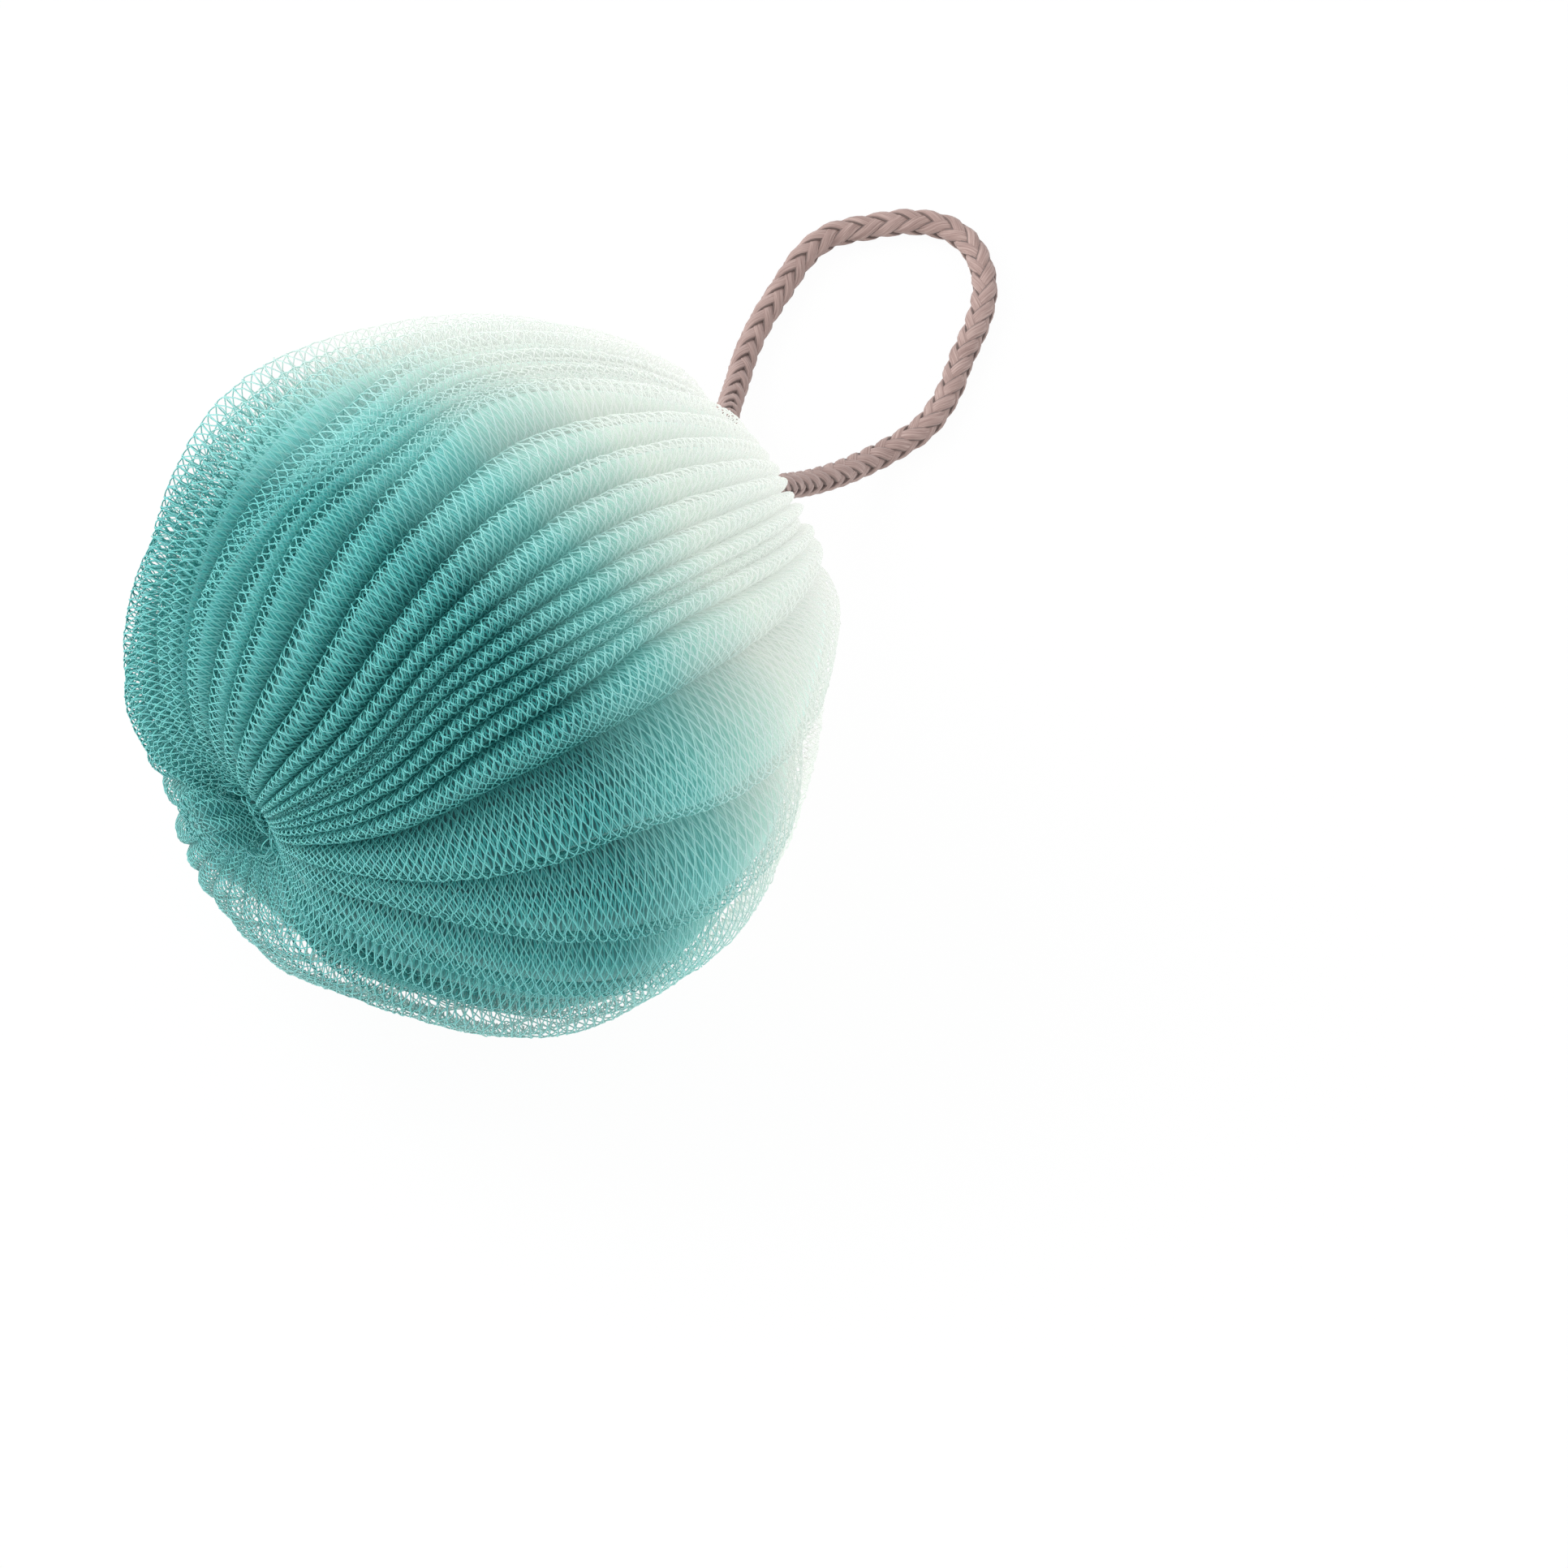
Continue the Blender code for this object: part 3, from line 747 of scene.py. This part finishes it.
def loose_loops(name, shift, along, facing, count, rise, ring, seed):
    """Loops of the netting's free edge, standing round a gather."""
    pick = np.random.default_rng(seed)
    centre = shift + (along, 0.0, AXIS_HEIGHT)
    axis = np.array([facing, 0.0, 0.0])
    points = []
    quads = []
    used = 0
    for k in range(count):
        turn = 2.0 * math.pi * (k + pick.uniform(*LOOP_TURN)) / count
        out = np.array([0.0, math.sin(turn), math.cos(turn)])
        across = np.cross(axis, out)
        foot = ring * pick.uniform(*LOOP_FOOT)
        tall = rise * pick.uniform(*LOOP_RISE)
        lean = pick.uniform(*LOOP_LEAN)
        half = pick.uniform(*LOOP_HALF_WIDTH)
        t = np.linspace(0.0, 1.0, LOOP_POINTS)[:, None]
        swell = np.sin(math.pi * t)
        line = (
            centre
            + out * (foot + lean * tall * 0.6 * swell)
            + axis * tall * swell ** 0.8
            + across * half * (np.cos(math.pi * t) + 0.55 * np.sin(2.0 * math.pi * t))
        )
        tube_points, tube_quads = open_thread(line, THREAD_RADIUS)
        points.append(tube_points)
        quads.append(tube_quads + used)
        used += len(tube_points)
    made = mesh_object(name, np.concatenate(points), np.concatenate(quads))
    point_value(made, "height", np.full(used, 0.9))
    return made


# The cord

def smooth_route(route, spacing):
    """Evenly spaced points on a smooth curve through the route's points."""
    points = [Vector(point) for point in route]
    ends = [points[0] * 2 - points[1]] + points + [points[-1] * 2 - points[-2]]
    fine = []
    steps = 24
    for i in range(1, len(ends) - 2):
        a, b, c, d = ends[i - 1:i + 3]
        for s in range(steps):
            t = s / steps
            fine.append(
                0.5 * (2 * b + (c - a) * t + (2 * a - 5 * b + 4 * c - d) * t ** 2
                       + (3 * b - a - 3 * c + d) * t ** 3)
            )
    fine.append(points[-1])
    fine = np.array([tuple(p) for p in fine])
    run = np.concatenate([[0.0], np.cumsum(np.linalg.norm(np.diff(fine, axis=0), axis=1))])
    count = int(round(run[-1] / spacing)) + 1
    wanted = np.linspace(0.0, run[-1], count)
    return np.stack([np.interp(wanted, run, fine[:, k]) for k in range(3)], axis=1), wanted


def carried_frames(points):
    """Tangent and two cross directions that turn no more than the line."""
    tangent = np.gradient(points, axis=0)
    tangent /= np.linalg.norm(tangent, axis=1, keepdims=True)
    side = Vector(tangent[0]).orthogonal().normalized()
    sides = []
    for t in tangent:
        t = Vector(t)
        side = (side - t * side.dot(t)).normalized()
        sides.append(tuple(side))
    sides = np.array(sides)
    return tangent, sides, np.cross(tangent, sides)


def braid_arrays(middle, run, phase=0.0, size=1.0):
    """Points, faces and surface coordinates of the strands round a line."""
    tangent, side, up = carried_frames(middle)
    points = []
    quads = []
    uvs = []
    count = len(middle)
    for hand in (1.0, -1.0):
        for k in range(BRAID_STRANDS):
            turn = hand * run / BRAID_PITCH + (k + 0.25 * hand + 0.25) / BRAID_STRANDS
            phi = 2.0 * math.pi * turn + phase
            radius = BRAID_MIDDLE + hand * BRAID_WAVE * np.cos(2.0 * (phi - phase))
            out = np.cos(phi)[:, None] * side + np.sin(phi)[:, None] * up
            line = middle + size * radius[:, None] * out
            along = np.gradient(line, axis=0)
            along /= np.linalg.norm(along, axis=1, keepdims=True)
            flat = np.cross(along, out)
            flat /= np.linalg.norm(flat, axis=1, keepdims=True)
            thick = np.cross(flat, along)
            base = len(points) * count * BRAID_SIDES
            ring = []
            for s in range(BRAID_SIDES):
                a = 2.0 * math.pi * s / BRAID_SIDES
                wide = STRAND_WIDE * math.cos(a) * flat
                ring.append(line + size * (wide + STRAND_THICK * math.sin(a) * thick))
            points.append(np.stack(ring, axis=1).reshape(-1, 3))
            grid = np.arange(count * BRAID_SIDES).reshape(count, BRAID_SIDES) + base
            nxt = np.roll(grid, -1, axis=1)
            quads.append(np.stack([grid[:-1], nxt[:-1], nxt[1:], grid[1:]], axis=-1).reshape(-1, 4))
            u0 = np.repeat(run[:-1, None], BRAID_SIDES, axis=1)
            u1 = np.repeat(run[1:, None], BRAID_SIDES, axis=1)
            v0 = np.repeat(np.arange(BRAID_SIDES)[None, :] / BRAID_SIDES, count - 1, axis=0)
            v1 = v0 + 1.0 / BRAID_SIDES
            corners = [(u0, v0), (u0, v1), (u1, v1), (u1, v0)]
            uvs.append(np.stack([np.stack(c, -1) for c in corners], axis=2).reshape(-1, 4, 2))
    return np.concatenate(points), np.concatenate(quads), np.concatenate(uvs)


def build_braid(name, lines, size=1.0):
    """Braided cord along each of the lines, as one piece."""
    points = []
    quads = []
    uvs = []
    used = 0
    for line in lines:
        middle, run = smooth_route(line, BRAID_STEP)
        made_points, made_quads, made_uvs = braid_arrays(middle, run, 0.4 * len(points), size)
        points.append(made_points)
        quads.append(made_quads + used)
        uvs.append(made_uvs)
        used += len(made_points)
    made = mesh_object(name, np.concatenate(points), np.concatenate(quads))
    corner_uv(made, np.concatenate(uvs))
    close_ends(made)
    return made


def knot_lines():
    """Middle lines of the knot: the bight and the turn drawn tight round it."""
    first, second = Vector(LOOP_ROUTE[0]), Vector(LOOP_ROUTE[1])
    last, before_last = Vector(LOOP_ROUTE[-1]), Vector(LOOP_ROUTE[-2])
    out = (second - first).normalized()
    back = (before_last - last).normalized()
    knot_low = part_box("cord_knot")[0]
    centre = Vector((knot_low[0] + 0.95 * KNOT_CORD, 0.0, AXIS_HEIGHT))
    bight = [first + out * BIGHT_END, first - out * 0.5 * KNOT_CORD]
    bight += [centre + Vector(bend) * KNOT_CORD for bend in BIGHT_BEND]
    bight += [last - back * 0.5 * KNOT_CORD, last + back * BIGHT_END]
    normal = Vector(KNOT_FACING).normalized()
    side = normal.orthogonal().normalized()
    up = normal.cross(side)
    turn = []
    for k in range(KNOT_TURN_POINTS + KNOT_LAP_POINTS):
        a = 2.0 * math.pi * (k / KNOT_TURN_POINTS)
        tucked = max(0.0, k - KNOT_TURN_POINTS) / (KNOT_LAP_POINTS - 1) + max(0.0, 4.0 - k) / 4.0
        reach = KNOT_TURN * (1.0 - 0.35 * tucked)
        rise = KNOT_TURN_RISE * (k / KNOT_TURN_POINTS - 0.6)
        turn.append(centre + side * reach * math.cos(a) + up * reach * math.sin(a) + normal * rise)
    return bight, turn


def close_ends(made):
    """Caps the open strand ends and faces everything outwards."""
    mesh = bmesh.new()
    mesh.from_mesh(made.data)
    edges = [e for e in mesh.edges if e.is_boundary]
    bmesh.ops.holes_fill(mesh, edges=edges, sides=0)
    bmesh.ops.recalc_face_normals(mesh, faces=mesh.faces)
    mesh.to_mesh(made.data)
    mesh.free()


# Materials

def new_material(name):
    """Material with its node tree and its shader."""
    made = bpy.data.materials.new(name)
    made.use_nodes = True
    tree = made.node_tree
    return made, tree, tree.nodes["Principled BSDF"]


def node(tree, kind, **settings):
    """New node of that kind, with its settings."""
    made = tree.nodes.new(kind)
    for key, value in settings.items():
        setattr(made, key, value)
    return made


def feed(tree, socket, given):
    """Gives an input its value, or links another node's output to it."""
    if isinstance(given, bpy.types.NodeSocket):
        tree.links.new(given, socket)
    else:
        socket.default_value = given


def point_number(tree, name):
    """The number that the mesh stores on its points under that name."""
    return node(tree, "ShaderNodeAttribute", attribute_name=name).outputs["Fac"]


def coordinates(tree, kind):
    """Object coordinates, or the mesh's own UV."""
    return node(tree, "ShaderNodeTexCoord").outputs[kind]


def split_axes(tree, where):
    """The three numbers of a coordinate."""
    made = node(tree, "ShaderNodeSeparateXYZ")
    feed(tree, made.inputs[0], where)
    return made.outputs


def noise(tree, where, scale, detail=2.0):
    """Cloudy noise over the coordinates: its grey value and its colour."""
    made = node(tree, "ShaderNodeTexNoise")
    feed(tree, made.inputs["Vector"], where)
    made.inputs["Scale"].default_value = scale
    made.inputs["Detail"].default_value = detail
    return made.outputs["Fac"], made.outputs["Color"]


def arithmetic(tree, operation, *given, clamp=False):
    """Sum, product or other operation on numbers and outputs."""
    made = node(tree, "ShaderNodeMath", operation=operation, use_clamp=clamp)
    for socket, value in zip(made.inputs, given):
        feed(tree, socket, value)
    return made.outputs[0]


def map_range(tree, given, start, end, low=0.0, high=1.0, smooth=False):
    """Value moved from start and end to low and high."""
    kind = "SMOOTHSTEP" if smooth else "LINEAR"
    made = node(tree, "ShaderNodeMapRange", interpolation_type=kind)
    for name, value in (
        ("Value", given), ("From Min", start), ("From Max", end), ("To Min", low), ("To Max", high),
    ):
        feed(tree, made.inputs[name], value)
    return made.outputs[0]


def ramp(tree, given, stops):
    """Colour picked from the stops by a value from 0 to 1."""
    made = node(tree, "ShaderNodeValToRGB")
    elements = made.color_ramp.elements
    while len(elements) < len(stops):
        elements.new(0.5)
    for element, (place_along, colour) in zip(elements, stops):
        element.position = place_along
        element.color = colour
    feed(tree, made.inputs["Fac"], given)
    return made.outputs["Color"]


def mix_colour(tree, factor, first, second, blend="MIX"):
    """Mix of two colours; the inputs are picked by number, as names repeat."""
    made = node(tree, "ShaderNodeMix", data_type="RGBA", blend_type=blend)
    for index, given in ((0, factor), (6, first), (7, second)):
        feed(tree, made.inputs[index], given)
    return made.outputs[2]


def bump(tree, height, strength, distance):
    """Surface normal raised by the height."""
    made = node(tree, "ShaderNodeBump")
    made.inputs["Strength"].default_value = strength
    made.inputs["Distance"].default_value = distance
    feed(tree, made.inputs["Height"], height)
    return made.outputs["Normal"]


def output_group(name, output):
    """Node group with one value as its output, and the input of that output."""
    group = bpy.data.node_groups.new(name, "ShaderNodeTree")
    group.interface.new_socket(name=output, in_out="OUTPUT", socket_type="NodeSocketFloat")
    return group, node(group, "NodeGroupOutput").inputs[output]


def dye_group():
    """Dye along the axis: 0 at the plain gather, 1 at the cord's gather."""
    group, out = output_group("dye_fade", "Fade")
    where = coordinates(group, "Object")
    along, across = split_axes(group, where)[:2]
    cloud = noise(group, where, DYE_CLOUD, DYE_CLOUD_DETAIL)[0]
    drift = arithmetic(group, "MULTIPLY_ADD", cloud, DYE_DRIFT, DYE_SHIFT)
    lean = arithmetic(group, "MULTIPLY_ADD", across, DYE_CURVE, DYE_SLANT)
    slant = arithmetic(group, "MULTIPLY_ADD", lean, across, along)
    total = arithmetic(group, "ADD", slant, drift)
    feed(group, out, map_range(group, total, -BALL_RADIUS, BALL_RADIUS))
    return group


def net_thread_material(dye_fade):
    """Dyed plastic thread, with painted shade in the valleys, a painted glow for light shining through
    and painted light from the table low down.
    """
    made, tree, shader = new_material("net_thread")
    dye = node(tree, "ShaderNodeGroup", node_tree=dye_fade).outputs["Fade"]
    where = coordinates(tree, "Object")
    grain, grain_colour = noise(tree, where, THREAD_GRAIN)
    # Painted shade: the dye is darkened towards the pleats' valleys.
    painted_valley_shade = map_range(tree, point_number(tree, "height"), 0.0, 1.0, *THREAD_PAINTED_SHADE)
    dye_with_painted_shade = mix_colour(tree, 1.0, ramp(tree, dye, THREAD_STOPS), painted_valley_shade, "MULTIPLY")
    mottled = mix_colour(tree, THREAD_MOTTLE, dye_with_painted_shade, grain_colour, "SOFT_LIGHT")
    feed(tree, shader.inputs["Base Color"], mottled)
    # Painted light from the table, added to the glow on the lowest threads.
    tall = split_axes(tree, where)["Z"]
    low = map_range(tree, tall, PAINTED_LIGHT_TOP, PAINTED_LIGHT_FULL, smooth=True)
    painted_glow = mix_colour(tree, low, ramp(tree, dye, PAINTED_GLOW_STOPS), PAINTED_TABLE_LIGHT, "ADD")
    feed(tree, shader.inputs["Emission Color"], painted_glow)
    shader.inputs["Emission Strength"].default_value = 1.0
    feed(tree, shader.inputs["Roughness"], map_range(tree, grain, 0.0, 1.0, *THREAD_ROUGHNESS))
    return made


def lattice_group():
    """Mask of crossing threads from a row and a turn coordinate."""
    group, out = output_group("net_lattice", "Threads")
    rows = arithmetic(group, "MULTIPLY", point_number(group, "row"), 1.0 * STRANDS)
    turns = arithmetic(group, "MULTIPLY", point_number(group, "turn"), LATTICE_CELLS * PLEATS)
    masks = []
    for operation in ("ADD", "SUBTRACT"):
        both = arithmetic(group, operation, rows, turns)
        wave = arithmetic(group, "PINGPONG", both, 0.5)
        masks.append(map_range(group, wave, LATTICE_EDGE, LATTICE_CORE, smooth=True))
    feed(group, out, arithmetic(group, "MAXIMUM", *masks))
    return group


def inner_fold_material(dye_fade, lattice):
    """Folds of net inside the ball: painted with the dark shade of deep gaps where they gape, pale where
    they are dense, with painted rim light, painted shade in the valleys and a painted glow.
    """
    made, tree, shader = new_material("net_inner_folds")
    dye = node(tree, "ShaderNodeGroup", node_tree=dye_fade).outputs["Fade"]
    threads = node(tree, "ShaderNodeGroup", node_tree=lattice).outputs["Threads"]
    weight = node(tree, "ShaderNodeLayerWeight")
    weight.inputs["Blend"].default_value = FOLD_FACING
    facing = weight.outputs["Facing"]
    cloud = noise(tree, coordinates(tree, "Object"), FOLD_CLOUD)[0]
    dense = arithmetic(tree, "MAXIMUM", point_number(tree, "packed"), facing)
    spread = arithmetic(tree, "MULTIPLY_ADD", cloud, FOLD_SPREAD, -0.5 * FOLD_SPREAD)
    share = arithmetic(tree, "MULTIPLY_ADD", dense, FOLD_PALE, spread, clamp=True)
    # Painted shade: the folds take the dark colour of deep gaps where they gape, the pale one where they
    # are dense.
    light = ramp(tree, dye, FOLD_LIGHT_STOPS)
    ground_with_painted_shade = mix_colour(tree, share, ramp(tree, dye, FOLD_PAINTED_DEPTH_SHADE_STOPS), light)
    woven = mix_colour(tree, threads, ground_with_painted_shade, light)
    # Painted rim light, paler where the folds are seen edge on.
    painted_rim_light = arithmetic(tree, "MULTIPLY", arithmetic(tree, "POWER", facing, FOLD_PAINTED_RIM_POWER), FOLD_PAINTED_RIM_LIGHT)
    woven = mix_colour(tree, painted_rim_light, woven, PAINTED_RIM_LIGHT_TINT)
    # Painted shade, darker towards the valleys.
    painted_valley_shade = map_range(tree, point_number(tree, "height"), 0.0, 1.0, *FOLD_PAINTED_SHADE)
    feed(tree, shader.inputs["Base Color"], mix_colour(tree, 1.0, woven, painted_valley_shade, "MULTIPLY"))
    # Painted glow on the inner folds.
    feed(tree, shader.inputs["Emission Color"], ramp(tree, dye, PAINTED_GLOW_STOPS))
    shader.inputs["Emission Strength"].default_value = 0.8
    feed(tree, shader.inputs["Normal"], bump(tree, threads, 0.6, 0.0004))
    shader.inputs["Roughness"].default_value = 0.7
    return made


def cord_material():
    """Matt braided cord: fine fibres along each strand, with painted shade in the grooves between."""
    made, tree, shader = new_material("braided_cord")
    along_strand = coordinates(tree, "UV")
    stretch = node(tree, "ShaderNodeMapping")
    stretch.inputs["Scale"].default_value = CORD_FIBRE_STRETCH
    feed(tree, stretch.inputs["Vector"], along_strand)
    fibre = noise(tree, stretch.outputs["Vector"], 1.0, 3.0)[0]
    cloud = noise(tree, coordinates(tree, "Object"), CORD_CLOUD)[0]
    mottled = mix_colour(tree, CORD_MOTTLE, ramp(tree, fibre, CORD_TONES), cloud, "SOFT_LIGHT")
    # Painted shade in the grooves between the strands, at the edges of each strand.
    turn = arithmetic(tree, "MULTIPLY", split_axes(tree, along_strand)["Y"], 2.0 * math.pi)
    edge = arithmetic(tree, "ABSOLUTE", arithmetic(tree, "COSINE", turn))
    painted_groove_shade = map_range(tree, edge, GROOVE_PAINTED_SHADE_START, 1.0, 1.0, GROOVE_PAINTED_SHADE, smooth=True)
    feed(tree, shader.inputs["Base Color"], mix_colour(tree, 1.0, mottled, painted_groove_shade, "MULTIPLY"))
    shader.inputs["Roughness"].default_value = 0.82
    shader.inputs["Sheen Weight"].default_value = 0.15
    feed(tree, shader.inputs["Normal"], bump(tree, fibre, 0.5, 0.00025))
    return made


def table_material():
    """White table: pale to the camera, with the object's own soft shadow."""
    made, tree, shader = new_material("white_table")
    shader.inputs["Base Color"].default_value = TABLE_TONE
    shader.inputs["Roughness"].default_value = 0.9
    shader.inputs["Specular IOR Level"].default_value = 0.0
    white = node(tree, "ShaderNodeEmission")
    white.inputs["Strength"].default_value = 1.0
    seen = node(tree, "ShaderNodeLightPath").outputs["Is Camera Ray"]
    both = node(tree, "ShaderNodeMixShader")
    feed(tree, both.inputs[0], arithmetic(tree, "MULTIPLY", seen, TABLE_SEEN_WHITE))
    feed(tree, both.inputs[1], shader.outputs[0])
    feed(tree, both.inputs[2], white.outputs[0])
    feed(tree, tree.nodes["Material Output"].inputs["Surface"], both.outputs[0])
    return made


# Camera, light and table

def view_axes():
    """The camera's right, up and back directions."""
    a = math.radians(VIEW_AZIMUTH)
    e = math.radians(VIEW_ELEVATION)
    right = Vector((math.cos(a), -math.sin(a), 0.0))
    up = Vector((math.sin(a) * math.sin(e), math.cos(a) * math.sin(e), math.cos(e)))
    back = Vector((-math.sin(a) * math.cos(e), -math.cos(a) * math.cos(e), math.sin(e)))
    return right, up, back


def build_camera(ball_middle):
    """Long lens from the photograph's side, with the ball left of its middle."""
    right, up, back = view_axes()
    target = ball_middle + right * LOOK_RIGHT - up * LOOK_DOWN
    data = bpy.data.cameras.new("camera")
    data.sensor_width = SENSOR_WIDTH
    data.lens = SENSOR_WIDTH * VIEW_DISTANCE / FIELD_WIDTH
    data.clip_start = 0.5
    data.clip_end = 40.0
    made = bpy.data.objects.new("camera", data)
    bpy.context.scene.collection.objects.link(made)
    turn = Matrix((right, up, back)).transposed()
    made.matrix_world = Matrix.LocRotScale(target + back * VIEW_DISTANCE, turn.to_quaternion(), None)
    bpy.context.scene.camera = made


def build_world():
    """Plain white surroundings, softer on the object than to the camera."""
    world = bpy.data.worlds.new("studio")
    bpy.context.scene.world = world
    world.use_nodes = True
    tree = world.node_tree
    ambient = tree.nodes["Background"]
    ambient.inputs["Color"].default_value = (1.0, 1.0, 1.0, 1.0)
    ambient.inputs["Strength"].default_value = AMBIENT_LIGHT
    white = node(tree, "ShaderNodeBackground")
    white.inputs["Color"].default_value = (1.0, 1.0, 1.0, 1.0)
    white.inputs["Strength"].default_value = 1.0
    both = node(tree, "ShaderNodeMixShader")
    feed(tree, both.inputs[0], node(tree, "ShaderNodeLightPath").outputs["Is Camera Ray"])
    feed(tree, both.inputs[1], ambient.outputs[0])
    feed(tree, both.inputs[2], white.outputs[0])
    feed(tree, tree.nodes["World Output"].inputs["Surface"], both.outputs[0])


def area_light(name, spot, target, size, power):
    """Round lamp at a spot, facing its target."""
    data = bpy.data.lights.new(name, "AREA")
    data.shape = "DISK"
    data.size = size
    data.energy = power
    made = bpy.data.objects.new(name, data)
    bpy.context.scene.collection.objects.link(made)
    made.location = spot
    made.rotation_mode = "QUATERNION"
    made.rotation_quaternion = (Vector(spot) - Vector(target)).to_track_quat("Z", "Y")


def build_table_top():
    """The white table that the pouf lies on."""
    data = bpy.data.meshes.new("table_top")
    half = TABLE_HALF_WIDTH
    data.from_pydata(
        [(-half, -half, 0.0), (half, -half, 0.0), (half, half, 0.0), (-half, half, 0.0)],
        [],
        [(0, 1, 2, 3)],
    )
    data.materials.append(table_material())
    made = bpy.data.objects.new("table_top", data)
    bpy.context.scene.collection.objects.link(made)


# Assembly

def move_points(made, shift):
    """Moves the mesh's points, so that the object itself stays at the origin."""
    co = np.zeros(len(made.data.vertices) * 3, np.float32)
    made.data.vertices.foreach_get("co", co)
    co = co.reshape(-1, 3) + np.asarray(shift, np.float32)
    made.data.vertices.foreach_set("co", co.ravel())
    made.data.update()


def place(made, material, slot, *nodes):
    """Finish a piece: its material, its body and what it stands for; its slot is not used."""
    made.data.materials.append(material)
    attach(made, "root")
    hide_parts(*nodes)


def ball_offset():
    """How far the part moved its ball so that its box is centred."""
    low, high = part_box("net_ball")
    stations = np.linspace(NECK_ANGLE, 180.0 - NECK_ANGLE, PART_STATIONS)
    lines = half_pleat_lines(stations, 0.0, 1.0)[0]
    middle = 0.5 * (lines[..., 1].min() + lines[..., 1].max())
    return Vector((high[0] - lines[..., 0].max(), 0.5 * (low[1] + high[1]) - middle, 0.0))


def build_cord():
    """The hanging loop and its knot, one braided cord."""
    braid = build_braid("cord_braid", [LOOP_ROUTE])
    knot = build_braid("knot_braid", knot_lines(), KNOT_CORD / CORD_DIAMETER)
    material = cord_material()
    place(braid, material, "cord", "hanging_cord")
    place(knot, material, "cord", "cord_knot")
    [tuple(p) for p in smooth_route(LOOP_ROUTE, 3.0 * BRAID_STEP)[0]]


def build_netting(shift):
    """The ball of netting: its outer net, the net under it, its ends and inner folds."""
    dye_fade = dye_group()
    thread = net_thread_material(dye_fade)
    fold = inner_fold_material(dye_fade, lattice_group())
    stations = strand_stations()
    outer = net_layer(
        ("net_outer_plain_end", "net_outer_plain_side", "net_outer_cord_side", "net_outer_cord_end"),
        stations, 0.0, 1.0, OUTER_NARROW_MARKS, OUTER_BROAD_MARKS, OUTER_SHIFT, False, OUTER_SEED,
    )
    under = net_layer(
        ("net_under_plain_end", "net_under_cord_end"),
        stations[UNDER_FIRST_ROW:UNDER_LAST_ROW], UNDER_DROP, UNDER_WIDTH,
        UNDER_NARROW_MARKS, UNDER_BROAD_MARKS, UNDER_SHIFT, True, UNDER_SEED,
    )
    for made in outer + under:
        move_points(made, shift)
        place(made, thread, "net", "net_ball")
    tuft, tuft_skin = build_tuft(shift)
    place(tuft, thread, "net", "net_ball")
    place(tuft_skin, fold, "net", "net_ball")
    place(loose_loops("net_end_loops", shift, *PLAIN_END_LOOPS), thread, "net", "net_ball")
    place(loose_loops("net_edge_loops", shift, *CORD_END_LOOPS), thread, "net", "net_ball")
    folds = build_inner_folds(shift)
    place(folds, fold, "net", "net_ball")


def main():
    for each in list(bpy.context.selected_objects):
        each.select_set(False)
    offset = ball_offset()
    build_camera(Vector((offset[0], offset[1], AXIS_HEIGHT)))
    build_cord()
    build_netting(np.array(tuple(offset)))
    build_table_top()
    build_world()
    for lamp in LAMPS:
        area_light(*lamp)


main()
bpy.context.scene.view_settings.view_transform = "Standard"
